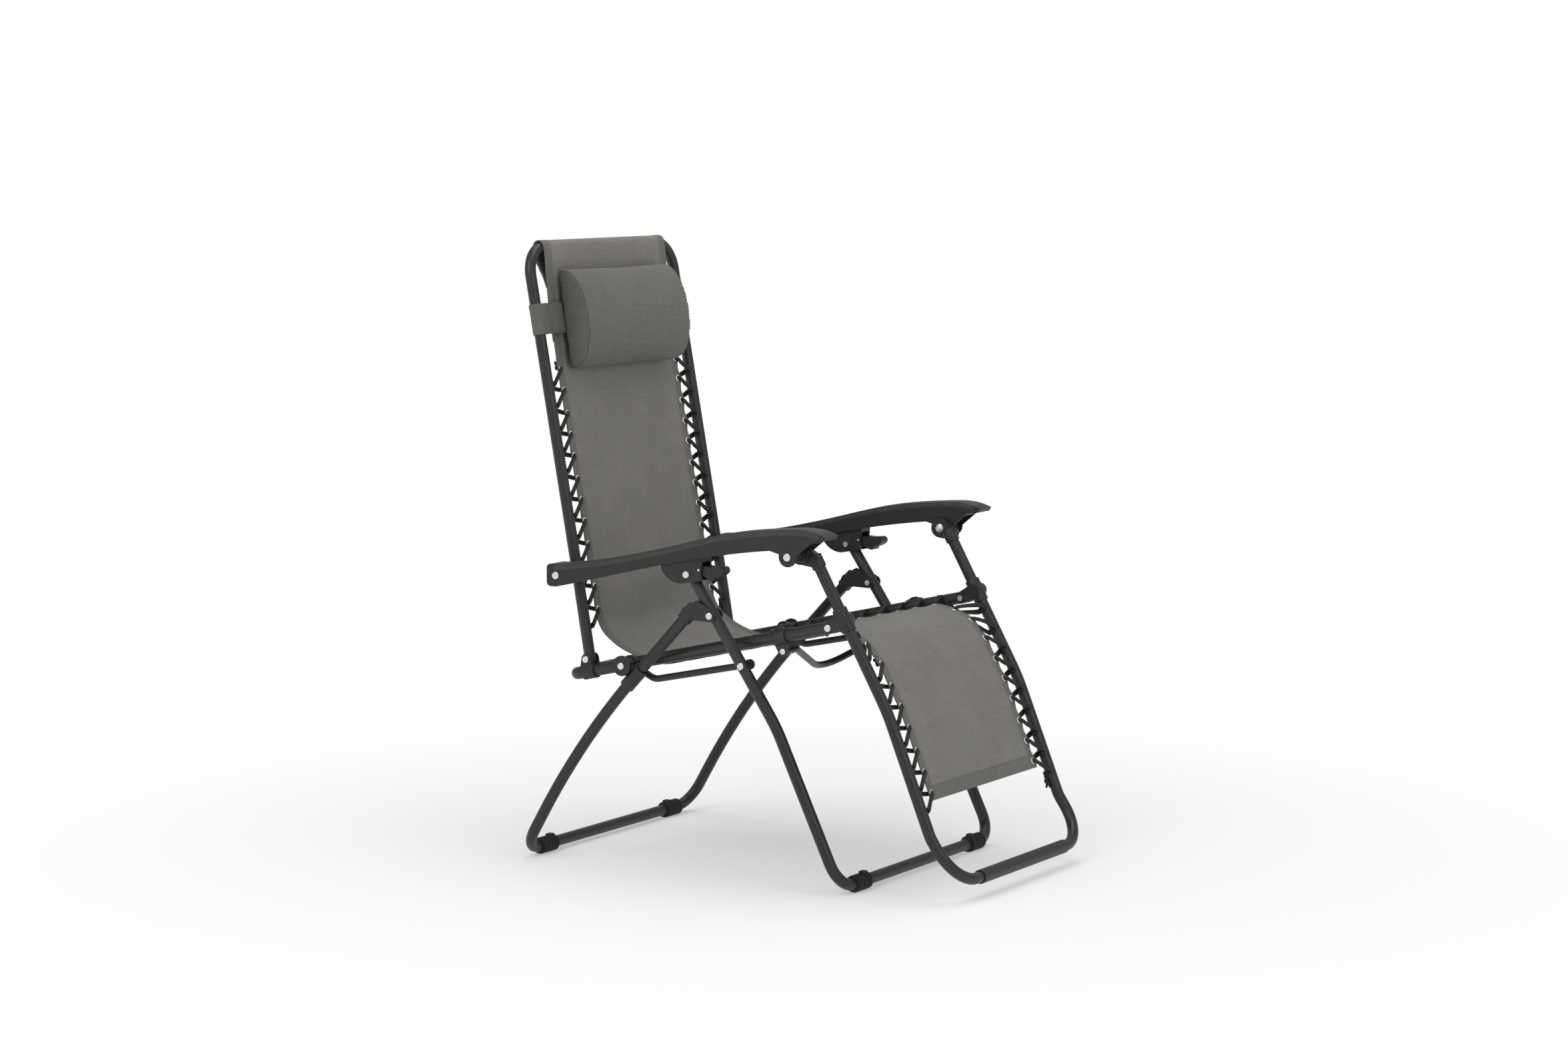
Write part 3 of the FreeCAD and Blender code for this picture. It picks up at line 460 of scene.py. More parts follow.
path_points += [(0.1600, 0.4462), (0.1800, 0.4462), (0.1997, 0.4402), (0.2190, 0.4345), (0.2351, 0.4233),
                (0.2500, 0.4085), (0.2622, 0.3928), (0.2812, 0.3587), (0.3000, 0.3240), (0.3160, 0.2885),
                (0.3305, 0.2520), (0.3450, 0.2160), (0.3597, 0.1795), (0.3650, 0.1665)]
ROW_STEP = 3.2 * MM
rows = smooth_line(path_points, ROW_STEP)
STRAIGHT_ROW = 50
row_step = float(np.linalg.norm(rows[STRAIGHT_ROW] - rows[STRAIGHT_ROW - 1]))
tangents = np.gradient(rows, axis=0)
tangents /= np.linalg.norm(tangents, axis=1)[:, None]
normals = np.stack([-tangents[:, 1], tangents[:, 0]], 1)
run = np.concatenate([[0], np.cumsum(np.linalg.norm(np.diff(rows, axis=0), axis=1))])
length = run[-1]


def row_near(x, z, first=0, last=None):
    part = rows[first:last]
    return first + int(np.argmin(np.linalg.norm(part - np.array([x, z]), axis=1)))


front_start = row_near(*down_back(0, BAR_WRAP))
corner_top = row_near(-0.3195, 0.438, front_start)
corner_middle = row_near(-0.2950, 0.400, front_start)
corner_low = row_near(-0.2080, 0.3640, front_start)
knee_start = row_near(0.1640, 0.4465, front_start)
knee_middle = row_near(0.1930, 0.4425, front_start)
knee_end = row_near(0.2580, 0.3990, front_start)
last_row = len(rows) - 1

HALF = 197 * MM
HEM = 20 * MM
END_HEM = 28 * MM
EYELET_HOLE = 3.6 * MM
EYELET_PITCH = 39.5 * MM
BETWEEN_EYELETS = 19.8 * MM
STITCH_PITCH = 5.2 * MM
HEM_STITCH = HALF - HEM - 1.4 * MM
columns = [197, 196.2, 193, 189.6, 186.4, 183, 179.6, 177.5, 176.3, 172, 162, 148, 132, 114, 94, 72, 48, 24]
columns = [-c * MM for c in columns] + [0.0] + [c * MM for c in reversed(columns)]


def rings_of(node):
    """Centres and axes of the separate small rings in one CAD node."""
    groups = []
    for vertex in nodes[node].data.vertices:
        point = np.array(vertex.co)
        for group in groups:
            if np.linalg.norm(group[0] - point) < 15 * MM:
                group.append(point)
                break
        else:
            groups.append([point])
    found = []
    for group in groups:
        cloud = np.array(group)
        centre = (cloud.min(0) + cloud.max(0)) / 2
        row = row_near(centre[0], centre[2], front_start)
        found.append((row, 1 if centre[1] > 0 else -1, centre))
    return sorted(found, key=lambda item: (item[1], item[0]))


eyelet_sets = {part: rings_of(part + "_eyelets") for part in ("back", "seat", "legrest")}
knee_rows = [row_near(0.1997, 0.4402, front_start), row_near(0.2351, 0.4233, front_start)]
eyelet_width = abs(eyelet_sets["back"][0][2][1])
eyelet_rows = sorted({item[0] for found in eyelet_sets.values() for item in found} | set(knee_rows))
eyelet_runs = run[eyelet_rows]


def nearest_eyelet(place):
    return float(np.min(np.abs(eyelet_runs - place)))


def bell(value, centre, width):
    return math.exp(-((value - centre) / width) ** 2)


corner_run, knee_run = run[corner_middle], run[knee_end]
# Each crease over the knee: its place after the bend, its width, and its height in mm.
KNEE_CREASES = ((-0.045, 0.009, 1.1), (-0.012, 0.008, -0.9), (0.022, 0.009, 1.2),
                (0.058, 0.012, -0.9), (0.095, 0.013, 0.7), (0.150, 0.02, -0.5))


def sag(place, y):
    """How far the cloth hangs behind its laced edges, and its small creases."""
    middle = 1 - (y / HALF) ** 2
    depth = 5.0 * bell(place, run[front_start] + 0.36, 0.2) + 9.0 * bell(place, corner_run + 0.17, 0.14)
    depth += 3.0 * bell(place, knee_run + 0.13, 0.10)
    fall = -depth * middle
    for after_knee, width, height in KNEE_CREASES:
        centre = knee_run + after_knee
        shift = 0.006 * math.sin(17 * y + centre * 90)
        fall += height * bell(place + shift, centre, width) * (0.35 + 0.65 * middle)
    fall += 1.5 * bell(place, corner_run - 0.015, 0.02) * math.sin(38 * y + 1.0) * middle
    fall += 1.1 * bell(place, corner_run - 0.05, 0.03) * math.sin(27 * y - 2.0) * middle
    fall += 0.5 * math.sin(9 * place * math.tau + 6 * y) * math.sin(21 * y) * middle
    gap = nearest_eyelet(place)
    if abs(y) > 0.11 and gap < 0.021:
        pull = math.cos(math.tau * min(gap, BETWEEN_EYELETS) / EYELET_PITCH)
        fall += 0.7 * pull * ((abs(y) - 0.11) / 0.087) ** 2
    return fall * MM


def edge_pull(place, y):
    """The edge bows inward between eyelets."""
    first_eyelet = run[front_start] + 0.17
    if place < first_eyelet:
        return y
    gap = min(nearest_eyelet(place), BETWEEN_EYELETS)
    scallop = 2.6 * MM * (1 - math.cos(math.pi * gap / BETWEEN_EYELETS)) / 2
    share = max(0.0, (abs(y) - 0.165) / 0.032)
    return y - math.copysign(scallop * share ** 2, y)


def thickness(place, y):
    doubled = abs(y) > HALF - HEM or place > length - END_HEM
    return 2.3 * MM if doubled else 1.3 * MM


def on_sheet(row, y, lift=0.0):
    """A point of the sling at a row (may be fractional) and width, lifted off its middle surface."""
    low = int(min(max(math.floor(row), 0), last_row - 1))
    share = row - low
    centre = rows[low] * (1 - share) + rows[low + 1] * share
    normal = normals[low] * (1 - share) + normals[low + 1] * share
    place = run[low] * (1 - share) + run[low + 1] * share
    offset = lift
    if place > run[front_start] + 0.10:
        offset += sag(place, y)
    return (centre[0] + normal[0] * offset, edge_pull(place, y), centre[1] + normal[1] * offset)


def frame_at(row):
    low = int(min(max(round(row), 0), last_row))
    return (tangents[low][0], 0, tangents[low][1]), (normals[low][0], 0, normals[low][1])


def sheet(name, first, last):
    """One length of the sling as a closed double surface, with its hems, stitches and eyelet holes."""
    build = Build()
    indices = list(range(first, last + 1))
    wide = len(columns)
    for face_side in (1, -1):
        points = [on_sheet(i, y, face_side * thickness(run[i], y) / 2) for i in indices for y in columns]
        build.points += points
    total = len(indices) * wide

    def uv(i, j):
        return (columns[j], run[indices[i]])

    def add(face, slot, corners):
        build.faces.append(face)
        build.slots.append(slot)
        build.uvs.append([uv(i, j) for i, j in corners])

    open_cells = set()
    for i in range(len(indices) - 1):
        middle_run = (run[indices[i]] + run[indices[i + 1]]) / 2
        for j in range(wide - 1):
            middle_y = abs(columns[j] + columns[j + 1]) / 2
            if math.hypot(nearest_eyelet(middle_run), middle_y - eyelet_width) < EYELET_HOLE:
                open_cells.add((i, j))
    for i in range(len(indices) - 1):
        for j in range(wide - 1):
            if (i, j) in open_cells:
                continue
            slot = 1 if thickness(run[indices[i]], (columns[j] + columns[j + 1]) / 2) > 2 * MM else 0
            a, b, c, d = (i, j), (i, j + 1), (i + 1, j + 1), (i + 1, j)
            top = [p * wide + q for p, q in (a, d, c, b)]
            add(tuple(top), slot, (a, d, c, b))
            add(tuple(total + k for k in reversed(top)), slot, (b, c, d, a))
    border = {}
    for face in [f for f in build.faces if f[0] < total]:
        for a, b in zip(face, face[1:] + face[:1]):
            if (b, a) in border:
                del border[(b, a)]
            else:
                border[(a, b)] = True
    for a, b in border:
        build.faces.append((b, a, total + a, total + b))
        build.slots.append(1)
        i, j = divmod(a, wide)
        build.uvs.append([uv(i, j)] * 4)
    pitch = STITCH_PITCH / row_step
    row = math.ceil(first / pitch) * pitch
    while row < last:
        along, up = frame_at(row)
        for y in (-HEM_STITCH, HEM_STITCH):
            half = thickness(run[int(row)], y) / 2
            stitch(build, on_sheet(row, y, half), along, up, 2)
            stitch(build, on_sheet(row, y, -half), along, [-u for u in up], 2)
        row += pitch
    cross_lines = []
    if first == 0:
        cross_lines += [(1.2, 1), (front_start + POCKET * MM / row_step, 1)]
    if last == last_row:
        cross_lines += [(last_row - 0.0275 / row_step, 1), (last_row - 0.0235 / row_step, 1)]
    for row, side in cross_lines:
        y = -HALF + 3 * MM
        while y < HALF - 3 * MM:
            _, up = frame_at(row)
            stitch(build, on_sheet(row, y, side * thickness(run[int(row)], y) / 2), (0, 1, 0), up, 2)
            y += STITCH_PITCH
    return build.make(name, [cloth, hem_cloth, thread])


def blend_along(piece):
    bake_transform(piece)


def ride(piece, body, slot, *replaced):
    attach(piece, body)
    if replaced:
        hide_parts(*replaced)
    return piece


PANELS = (("back", 0, corner_top), ("seat", corner_low, knee_start), ("legrest", knee_end, last_row))
for body, first, last in PANELS:
    ride(sheet("sling_" + body + "_panel", first, last), body, "sling_fabric", "sling_" + body)
BENDS = (("corner_upper", "back", "back_pivot", corner_top, corner_middle),
         ("corner_lower", "back_pivot", "seat", corner_middle, corner_low),
         ("knee_upper", "seat", "knee_pivot", knee_start, knee_middle),
         ("knee_lower", "knee_pivot", "legrest", knee_middle, knee_end))
for name, body_a, body_b, first, last in BENDS:
    blend_along(sheet("sling_" + name, first, last))


# ------------------------------------------------------------------ eyelets
def eyelet(build, row, side):
    """A rolled two-part metal eyelet, flanged on both faces of the hem."""
    centre = np.array(on_sheet(row, side * eyelet_width))
    along, up = (np.array(v) for v in frame_at(row))
    across = np.cross(up, along)
    profile = [(3.1, 0.0), (3.2, 1.0), (3.7, 1.75), (4.5, 2.0), (5.4, 1.75), (6.0, 1.2), (5.7, 1.0),
               (5.7, -1.0), (6.0, -1.2), (5.4, -1.7), (4.5, -1.9), (3.7, -1.7), (3.2, -1.0)]
    around = 22
    points = []
    for k in range(around):
        angle = math.tau * k / around
        out = along * math.cos(angle) + across * math.sin(angle)
        points += [centre + out * r * MM + up * h * MM for r, h in profile]
    faces = []
    size = len(profile)
    for k in range(around):
        for p in range(size):
            after, nxt = (k + 1) % around, (p + 1) % size
            faces.append((k * size + p, after * size + p, after * size + nxt, k * size + nxt))
    build.add(points, faces)


for body, found in eyelet_sets.items():
    build = Build()
    for row, side, _ in found:
        eyelet(build, row, side)
    ride(build.make(body + "_eyelet_rings", [eyelet_metal]), body, "eyelet_metal", body + "_eyelets")
build = Build()
for row in knee_rows:
    for side in (-1, 1):
        eyelet(build, row, side)
piece = build.make("knee_eyelet_rings", [eyelet_metal])
blend_along(piece)


# ------------------------------------------------------------------ elastic lacing
def tube_hook(tube, along, up, side, reach, shift_start, shift_end):
    """Points of a cord that turns down the inner side of a tube, from its front to its back."""
    out = np.array((0, side, 0))
    angles = (142, 160, 180, 200, 218)
    points = []
    for k, degrees in enumerate(angles):
        shift = shift_start + (shift_end - shift_start) * k / (len(angles) - 1)
        angle = math.radians(degrees)
        points.append(tube + reach * (out * math.cos(angle) + up * math.sin(angle)) + along * shift)
    return points


def lace(build, stops, side, tube_width, tube_radius, drop, hook_run):
    """Two strands of elastic that pass through each eyelet to the tube's inner side and back.
    Each stop gives an eyelet's centre, the direction down the sling and the cloth's front normal."""
    out = np.array((0, side, 0))
    reach = tube_radius + CORD + 0.2 * MM
    for strand in (0, 1):
        nudge = (strand - 0.5) * 2 * CORD
        points = []
        for centre, along, up in stops:
            hole = centre + along * nudge * 0.55
            tube = np.array((centre[0], side * tube_width, centre[2])) + up * drop
            start = hook_run - 1 * MM + nudge
            hook = tube_hook(tube, along, up, side, reach, start, start + 3 * MM)
            points += [hole - up * 3.6 * MM - out * 1.0 * MM, hole + up * 3.2 * MM + out * 1.2 * MM]
            points += [hole * 0.55 + hook[0] * 0.45 + up * 1.2 * MM] + hook
        centre, along, up = stops[-1]
        tail = hook[-1] - out * 2 * MM + along * (4 + strand * 3) * MM
        points += [tail]
        cord_mesh(build, points, CORD)
    knot(build, tail + along * 3 * MM, along, up, side)
    centre, along, up = stops[0]
    knot(build, centre - up * 5.2 * MM - along * 3 * MM + out * 2 * MM, -along, up, side)


def knot(build, centre, along, up, side):
    """An overhand knot with two short tails."""
    out = np.array((0, side, 0))
    turns = []
    for step in range(17):
        angle = math.tau * step / 8
        lift = (step / 16 - 0.5) * 6 * MM
        turns.append(centre + along * lift + 2.4 * MM * (up * math.cos(angle) + out * math.sin(angle)))
    cord_mesh(build, turns, CORD * 0.95, step=1.6 * MM)
    for sign in (-1, 1):
        tail = [centre + along * 3 * MM, centre + along * 8 * MM + up * sign * 2.5 * MM,
                centre + along * (13 + sign) * MM + up * sign * 4 * MM - out * 2 * MM]
        cord_mesh(build, tail, CORD * 0.85, step=2 * MM)


def stop_at(row, side):
    along, up = frame_at(row)
    return np.array(on_sheet(row, side * eyelet_width)), np.array(along), np.array(up)


back_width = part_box("back_frame")[1].y - TUBE
seat_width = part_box("seat_frame")[1].y - RAIL
legrest_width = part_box("legrest_frame")[1].y - TUBE
LACING = (("back", back_width, TUBE, 0.0, 27 * MM), ("seat", seat_width, RAIL, SEAT_DROP, -8 * MM),
          ("legrest", legrest_width, TUBE, 0.0, 27 * MM))
for part, width, radius, drop, hook_run in LACING:
    build = Build()
    for side in (-1, 1):
        stops = [stop_at(row, side) for row, where, _ in eyelet_sets[part] if where == side]
        lace(build, stops, side, width, radius, drop, hook_run)
    ride(build.make(part + "_lacing", [cord_black]), part, "cord", part + "_cords")

tube_top = Vector((0.1616, 0, 0.573))
tube_turn = Vector((0.304, 0, 0.318))
shin = np.array((tube_turn - tube_top).normalized())
shin_front = np.array((-shin[2], 0, shin[0]))


def knee_loop(name, row, side, tube_run):
    """Lacing from an eyelet over the knee to the legrest tube."""
    build = Build()
    centre, along, up = stop_at(row, side)
    reach = TUBE + CORD + 0.2 * MM
    out = np.array((0, side, 0))
    for strand in (0, 1):
        hole = centre + along * (strand - 0.5) * CORD
        tube = np.array(tube_top) + shin * (tube_run + strand * 2 * CORD)
        tube[1] = side * legrest_width
        points = [hole - up * 3.6 * MM - out * 1.0 * MM, hole + up * 3.2 * MM + out * 1.2 * MM]
        points += tube_hook(tube, shin, shin_front, side, reach, 0.0, 4.5 * MM)
        points += [hole - up * 4.8 * MM + out * 5 * MM + along * 1.5 * MM]
        cord_mesh(build, points, CORD)
    piece = build.make(name, [cord_black])
    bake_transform(piece)


for side, hand in ((-1, "right"), (1, "left")):
    knee_loop("knee_lacing_upper_" + hand, knee_rows[0], side, 0.147)
    knee_loop("knee_lacing_lower_" + hand, knee_rows[1], side, 0.190)


# ------------------------------------------------------------------ pillow
pillow_low, pillow_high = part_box("pillow")
PILLOW_HALF = pillow_high.y
PILLOW_TALL = 186 * MM
PILLOW_VOXEL = 5 * MM
SEAM_HOLD = 11 * MM
SWELL_CAP = 11 * MM


def run_at(low, high):
    """How far down the back the middle of a box is."""
    return (top_bar.z - (low.z + high.z) / 2) / -lean.z


pillow_run = run_at(pillow_low, pillow_high)


def back_offset(distance):
    """How far the sling's front face stands ahead of the back tubes' centre line."""
    row = row_near(*down_back(distance, 3), front_start)
    place = Vector((rows[row][0], 0, rows[row][1])) - top_bar
    return place.dot(ahead) / MM


def d_outline(shrink, count=64):
    """The pillow's side outline: flat behind, round ahead. Distances in mm down the back and ahead of it."""
    centre = pillow_run / MM
    half = PILLOW_TALL / MM / 2 - shrink
    low_back, high_back = 3.4 + shrink, back_offset(centre - 80) + 3.0 + shrink
    depth = 67.0 - shrink
    shape = []
    for step in range(count + 1):
        angle = math.pi * step / count
        s = centre - half * math.cos(angle) * (1 - 0.02 * math.sin(angle))
        bow = math.sin(angle) ** 0.72
        back = high_back + (low_back - high_back) * (step / count)
        shape.append((s, back + (depth - back) * bow))
    rear = []
    for step in range(1, 14):
        share = step / 14
        s = centre + half - 2 * half * share
        rear.append((s, low_back + (high_back - low_back) * share))
    return shape + rear


def pillow_place(spot, y):
    place = top_bar + lean * spot[0] * MM + ahead * spot[1] * MM
    return (place.x, y, place.z)


def make_pillow():
    shrink = 3.0
    outline = d_outline(shrink)
    count = len(outline)
    widths = np.linspace(-PILLOW_HALF + shrink * MM, PILLOW_HALF - shrink * MM, 34)
    points = [pillow_place(spot, y) for y in widths for spot in outline]
    faces = []
    for i in range(len(widths) - 1):
        for k in range(count):
            after = (k + 1) % count
            faces.append((i * count + k, (i + 1) * count + k, (i + 1) * count + after, i * count + after))
    faces.append(tuple(range(count)))
    faces.append(tuple(reversed(range((len(widths) - 1) * count, len(widths) * count))))
    build = Build()
    build.add(points, faces)
    piece = build.make("head_pillow", [pillow_cloth, pillow_side_cloth], 180)
    face_outward(piece, split_large=True)
    return piece


def seam_points(shrink, y):
    return [Vector(pillow_place(spot, y)) for spot in d_outline(shrink)]


def swell(piece):
    """Remesh and inflate with Cloth; seams and the resting face are held."""
    bpy.context.view_layer.objects.active = piece
    piece.select_set(True)
    remesh = piece.modifiers.new("Remesh", "REMESH")
    remesh.mode = "VOXEL"
    remesh.voxel_size = PILLOW_VOXEL
    bpy.ops.object.modifier_apply(modifier=remesh.name)
    mesh = piece.data
    start = np.array([v.co for v in mesh.vertices], float)
    hold = piece.vertex_groups.new(name="hold")
    seams = np.array([p for y in (-PILLOW_HALF + 3 * MM, PILLOW_HALF - 3 * MM) for p in seam_points(3.0, y)])
    origin = np.array(top_bar)
    forward = (start - origin) @ np.array(ahead)
    for index, point in enumerate(start):
        near_seam = np.min(np.linalg.norm(seams - point, axis=1))
        weight = max(0.0, 1 - near_seam / SEAM_HOLD)
        if forward[index] < 10 * MM:
            weight = max(weight, 0.85)
        if weight > 0:
            hold.add([index], weight, "REPLACE")
    cloth_mod = piece.modifiers.new("Cloth", "CLOTH")
    settings = cloth_mod.settings
    settings.quality = 6
    settings.mass = 0.3
    settings.use_pressure = True
    settings.uniform_pressure_force = 4.0
    settings.tension_stiffness = 22
    settings.compression_stiffness = 22
    settings.shear_stiffness = 8
    settings.bending_stiffness = 1.2
    settings.vertex_group_mass = "hold"
    settings.pin_stiffness = 1.0
    settings.effector_weights.gravity = 0
    cloth_mod.point_cache.frame_start = 1
    cloth_mod.point_cache.frame_end = 20
    for frame_number in range(1, 21):
        bpy.context.scene.frame_set(frame_number)
    shaped = piece.evaluated_get(bpy.context.evaluated_depsgraph_get())
    moved = np.array([v.co for v in shaped.data.vertices], float)
    piece.modifiers.remove(cloth_mod)
    bpy.context.scene.frame_set(1)
    shift = moved - start
    size = np.linalg.norm(shift, axis=1)
    shift *= np.where(size > SWELL_CAP, SWELL_CAP / np.maximum(size, 1e-9), 1.0)[:, None]
    final = start + shift
    sling_gap = 2.6 * MM
    ahead_now = (final - origin) @ np.array(ahead)
    final += np.outer(np.maximum(sling_gap - ahead_now, 0), np.array(ahead))
    mesh.vertices.foreach_set("co", final.astype(np.float32).ravel())
    mesh.update()
    piece.vertex_groups.clear()


def finish_pillow(piece):
    subdivide = piece.modifiers.new("Subdivision", "SUBSURF")
    subdivide.levels = 1
    subdivide.render_levels = 1
    bpy.context.view_layer.objects.active = piece
    bpy.ops.object.modifier_apply(modifier=subdivide.name)
    mesh = piece.data
    for polygon in mesh.polygons:
        polygon.use_smooth = True
        side_on = abs(polygon.normal.y) > 0.72 and abs(polygon.center.y) > PILLOW_HALF - 14 * MM
        polygon.material_index = 1 if side_on else 0


pillow = make_pillow()
swell(pillow)
finish_pillow(pillow)
surface = surface_of(pillow)
seam = Build()
for side in (-1, 1):
    ring = seam_points(2.0, side * (PILLOW_HALF - 3 * MM))
    ring = [Vector(p) for p in smooth_line([tuple(p) for p in ring + ring[:1]], 5.4 * MM)]
    for before, point, after in zip(ring, ring[1:], ring[2:]):
        spot, normal, _, _ = surface.find_nearest(point)
        if spot is None:
            continue
        along = (after - before).normalized()
        stitch(seam, spot + normal * 0.3 * MM, along, normal, 0, 4.2 * MM, 1.5 * MM, 0.8 * MM)
ride(pillow, "pillow", "pillow_fabric", "pillow")
ride(seam.make("pillow_stitches", [seam_thread]), "pillow", "pillow_fabric")


# ------------------------------------------------------------------ pillow straps
strap_low, strap_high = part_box("pillow_straps")
strap_run = run_at(strap_low, strap_high)
STRAP_STEP = 2.2 * MM


def strap(build, side):
    """Webbing that leaves the pillow's side, loops round the back tube and is sewn to itself."""
    reach = TUBE + 1.4 * MM
    tube_y = back_width
    route = [(PILLOW_HALF - 6 * MM, 9.0 * MM), (PILLOW_HALF + 10 * MM, 10.5 * MM),
             (tube_y - 24 * MM, 11.0 * MM), (tube_y - 12 * MM, 11.5 * MM)]
    for degrees in (90, 60, 30, 0, -30, -60, -90):
        angle = math.radians(degrees)
        route.append((tube_y + reach * math.cos(angle), reach * math.sin(angle)))
    route += [(tube_y - 11 * MM, -6.5 * MM), (tube_y - 18 * MM, 3.0 * MM), (tube_y - 24 * MM, 8.6 * MM),
              (tube_y - 40 * MM, 8.4 * MM)]
    line = smooth_line(route, STRAP_STEP)
    tangent = np.gradient(line, axis=0)
    tangent /= np.linalg.norm(tangent, axis=1)[:, None]
    normal = np.stack([-tangent[:, 1], tangent[:, 0]], 1)
    heights = [-27.5, -26.6, -20, -12, -4, 4, 12, 20, 26.6, 27.5]
    centre = top_bar + lean * strap_run
    points = []
    for face_side in (1, -1):
        for (y, f), (ny, nf) in zip(line, normal):
            for h in heights:
                half = 0.75 * MM if abs(h) < 27 else 0.35 * MM
                spot = centre + ahead * (f + face_side * nf * half) + lean * h * MM
                points.append((spot.x, side * (y + face_side * ny * half), spot.z))
    wide = len(heights)
    total = len(line) * wide
    faces = []
    uvs = []

    def quad(corners, base, flip):
        face = tuple(base + i * wide + j for i, j in corners)
        mark = [(heights[j] * MM, i * STRAP_STEP) for i, j in corners]
        faces.append(tuple(reversed(face)) if flip else face)
        uvs.append(list(reversed(mark)) if flip else mark)

    for i in range(len(line) - 1):
        for j in range(wide - 1):
            corners = ((i, j), (i + 1, j), (i + 1, j + 1), (i, j + 1))
            quad(corners, 0, side > 0)
            quad(corners, total, side < 0)
        for j, turn in ((0, False), (wide - 1, True)):
            a, b = i * wide + j, (i + 1) * wide + j
            face = (a, b, total + b, total + a)
            faces.append(face if turn != (side > 0) else tuple(reversed(face)))
            uvs.append([(0, i * STRAP_STEP)] * 4)
    for i, turn in ((0, True), (len(line) - 1, False)):
        for j in range(wide - 1):
            a, b = i * wide + j, i * wide + j + 1
            face = (a, b, total + b, total + a)
            faces.append(face if turn != (side > 0) else tuple(reversed(face)))
            uvs.append([(0, 0)] * 4)
    build.add(points, faces, 0, uvs)
    for y in (tube_y - 20 * MM, tube_y - 24 * MM):
        for h in np.arange(-24, 25, 4.4):
            spot = centre + ahead * (11.7 * MM + 0.75 * MM) + lean * h * MM
            stitch(build, (spot.x, side * y, spot.z), tuple(lean), tuple(ahead), 1, 3.2 * MM)
    for h in (-24.5, 24.5):
        for y in np.arange(PILLOW_HALF + 3 * MM, tube_y - 4 * MM, 4.8 * MM):
            spot = centre + ahead * (11.4 * MM + 0.75 * MM) + lean * h * MM
            stitch(build, (spot.x, side * y, spot.z), (0, 1, 0), tuple(ahead), 1, 3.2 * MM)


build = Build()
for side in (-1, 1):
    strap(build, side)
straps = build.make("pillow_strap_webbing", [strap_cloth, thread])
face_outward(straps)
ride(straps, "pillow", "strap", "pillow_straps")


# ------------------------------------------------------------------ armrest tops
def armrest_top(name, hand):
    """The armrest's crowned top skin, painted lighter than the plastic below as a painted highlight; its lip
    leaves a shadow line along both sides.
    """
    armrest = surface_of(nodes["armrest_" + hand])
    low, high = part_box("armrest_" + hand)
    middle_y = (low.y + high.y) / 2
    half = (high.y - low.y) / 2
    places = []
    x = low.x + 12 * MM
    while x < high.x - 4 * MM:
        hit = armrest.ray_cast(Vector((x, middle_y, 0.9)), Vector((0, 0, -1)))[0]
        places.append((x, hit.z))
        x += 6 * MM
    line = smooth_line(places, 5 * MM)
    direction = np.gradient(line, axis=0)
    direction /= np.linalg.norm(direction, axis=1)[:, None]
    outline = [(-1.012, -9.5), (-1.022, -8.6), (-1.022, -2.6), (-0.985, -0.6), (-0.90, 0.55), (-0.55, 1.25)]
    outline += [(0, 1.5)]
    outline += [(-share, lift) for share, lift in reversed(outline[:-1])]
    outline += [(0.90, -9.3), (0.85, -3.0), (-0.85, -3.0), (-0.90, -9.3)]
    points = []
    for k, ((px, pz), (dx, dz)) in enumerate(zip(line, direction)):
        end = min(k, len(line) - 1 - k)
        tuck = 1.0 if end > 2 else (0.955, 0.985, 0.996)[end]
        for share, lift in outline:
            lift = (lift - (1 - tuck) * 40) * MM
            points.append((px - dz * lift, middle_y + share * tuck * half, pz + dx * lift))
    wide = len(outline)
    faces = []
    for i in range(len(line) - 1):
        for j in range(wide):
            after = (j + 1) % wide
            faces.append((i * wide + j, i * wide + after, (i + 1) * wide + after, (i + 1) * wide + j))
    build = Build()
    build.add(points, faces)
    last = (len(line) - 1) * wide
    build.add([points[j] for j in range(wide)], [tuple(reversed(range(wide)))])
    build.add([points[last + j] for j in range(wide)], [tuple(range(wide))])
    piece = build.make(name, [painted_highlight_plastic])
    face_outward(piece, weld=0.001 * MM)
    ride(piece, "armrests", "black_plastic")


for hand in ("right", "left"):
    armrest_top("armrest_top_" + hand, hand)


# ------------------------------------------------------------------ nuts on the legrest caps
def turned(build, centre, inward, sides, steps):
    """A closed stack of rings around the width axis; steps are (radius, height) in mm."""
    points = []
    for radius, height in steps:
        for k in range(sides):
            angle = math.tau * k / sides
            spot = (radius * MM * math.cos(angle), inward * height * MM, radius * MM * math.sin(angle))
            points.append(np.array(centre) + np.array(spot))
    faces = [tuple(range(sides)), tuple((len(steps) - 1) * sides + k for k in reversed(range(sides)))]
    for i in range(len(steps) - 1):
        for k in range(sides):
            after = (k + 1) % sides
            faces.append((i * sides + k, (i + 1) * sides + k, (i + 1) * sides + after, i * sides + after))
    if inward > 0:
        faces = [tuple(reversed(face)) for face in faces]
    build.add(points, faces)


bolt_low, bolt_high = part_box("arm_front_bolts")
build = Build()
for side in (-1, 1):
    face = ((bolt_low.x + bolt_high.x) / 2, side * (legrest_width + 1 * MM), (bolt_low.z + bolt_high.z) / 2)
    turned(build, face, -side, 28, [(8.0, 0.0), (8.0, 0.9), (7.6, 1.2)])
    turned(build, face, -side, 6, [(5.8, 1.0), (5.8, 4.8), (5.2, 5.4)])
    turned(build, face, -side, 16, [(3.0, 5.2), (3.0, 6.2), (2.2, 6.9)])
ride(build.make("legrest_cap_nuts", [bolt_zinc]), "legrest", "bolts")


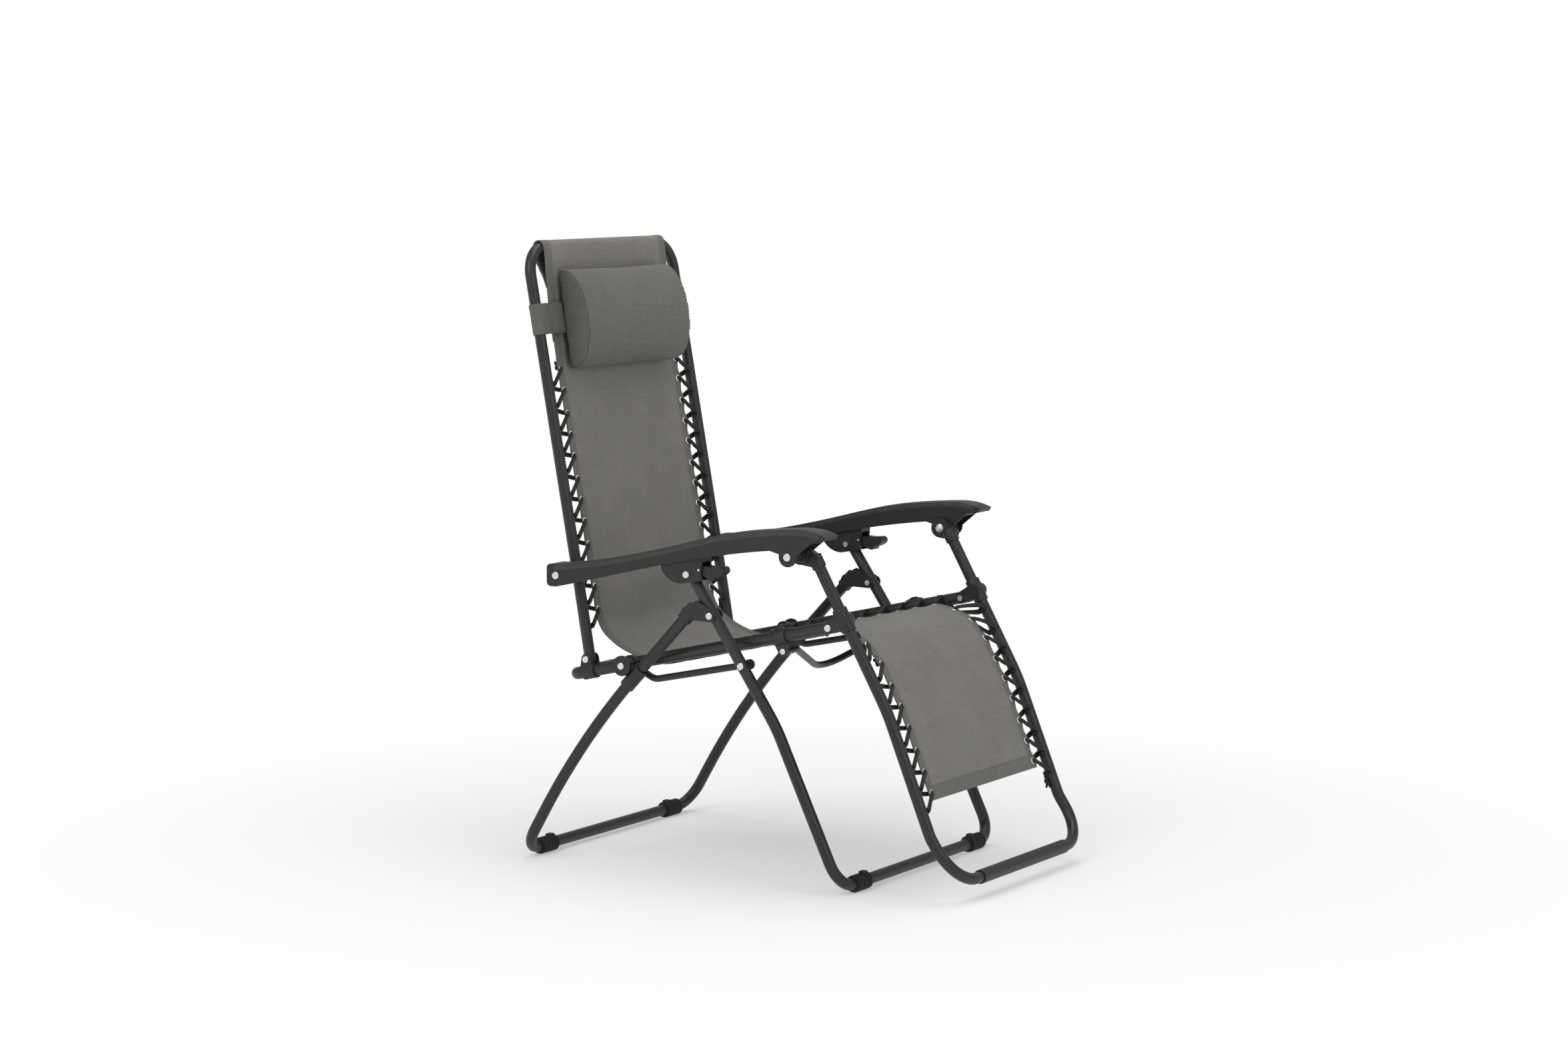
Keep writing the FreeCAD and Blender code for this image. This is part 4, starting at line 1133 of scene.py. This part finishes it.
# ------------------------------------------------------------------ stage, lights, camera
floor_mesh = bpy.data.meshes.new("floor")
FLOOR_REACH = 14.0
corners = [(FLOOR_REACH * x, FLOOR_REACH * y, 0) for x, y in ((-1, -1), (1, -1), (1, 1), (-1, 1))]
floor_mesh.from_pydata(corners, [], [(0, 1, 2, 3)])
floor = bpy.data.objects.new("floor", floor_mesh)
bpy.context.scene.collection.objects.link(floor)
floor_look = Shader("pale_floor", roughness=0.9)
floor_look.surface.inputs["Base Color"].default_value = (0.93, 0.93, 0.93, 1)
floor_look.surface.inputs["Specular IOR Level"].default_value = 0.1
glow = floor_look.node("Emission", Strength=1.0)
fade = floor_look.node("MixShader")
far = floor_look.node("VectorMath", operation="LENGTH")
floor_look.link(floor_look.place(), far.inputs[0])
floor_look.link(floor_look.stretch(far.outputs["Value"], 0.5, 1.6, 0.34, 1.0), fade.inputs[0])
floor_look.link(floor_look.surface.outputs[0], fade.inputs[1])
floor_look.link(glow.outputs[0], fade.inputs[2])
floor_look.link(fade.outputs[0], floor_look.tree.nodes["Material Output"].inputs["Surface"])
floor_mesh.materials.append(floor_look.material)

world = bpy.data.worlds.new("studio")
world.use_nodes = True
world.node_tree.nodes["Background"].inputs["Color"].default_value = (1, 1, 1, 1)
rays = world.node_tree.nodes.new("ShaderNodeLightPath")
power = world.node_tree.nodes.new("ShaderNodeMapRange")
power.inputs["To Min"].default_value = 0.52
power.inputs["To Max"].default_value = 1.0
world.node_tree.links.new(rays.outputs["Is Camera Ray"], power.inputs["Value"])
world.node_tree.links.new(power.outputs["Result"], world.node_tree.nodes["Background"].inputs["Strength"])
bpy.context.scene.world = world


def soft_box(name, place, target, size, power):
    light = bpy.data.lights.new(name, "AREA")
    light.shape = "RECTANGLE"
    light.size = size[0]
    light.size_y = size[1]
    light.energy = power
    lamp = bpy.data.objects.new(name, light)
    lamp.location = place
    lamp.rotation_euler = (Vector(target) - Vector(place)).to_track_quat("-Z", "Y").to_euler()
    bpy.context.scene.collection.objects.link(lamp)


soft_box("key", (-0.6, -3.4, 3.2), (0, 0, 0.5), (2.4, 2.4), 58)
soft_box("fill", (3.6, -1.2, 2.0), (0.1, 0, 0.6), (2.0, 2.6), 26)
soft_box("top", (0.2, 0.4, 3.6), (0, 0, 0.5), (3.0, 2.0), 38)

camera_data = bpy.data.cameras.new("camera")
camera_data.sensor_width = 36.0
camera_data.lens = 83.8
camera_data.clip_end = 60
camera = bpy.data.objects.new("camera", camera_data)
camera.location = (3.314, -5.570, 1.297)
camera.rotation_euler = (math.radians(83.9), 0, math.radians(31.1))
bpy.context.scene.collection.objects.link(camera)
bpy.context.scene.camera = camera
bpy.context.scene.view_settings.view_transform = "Standard"
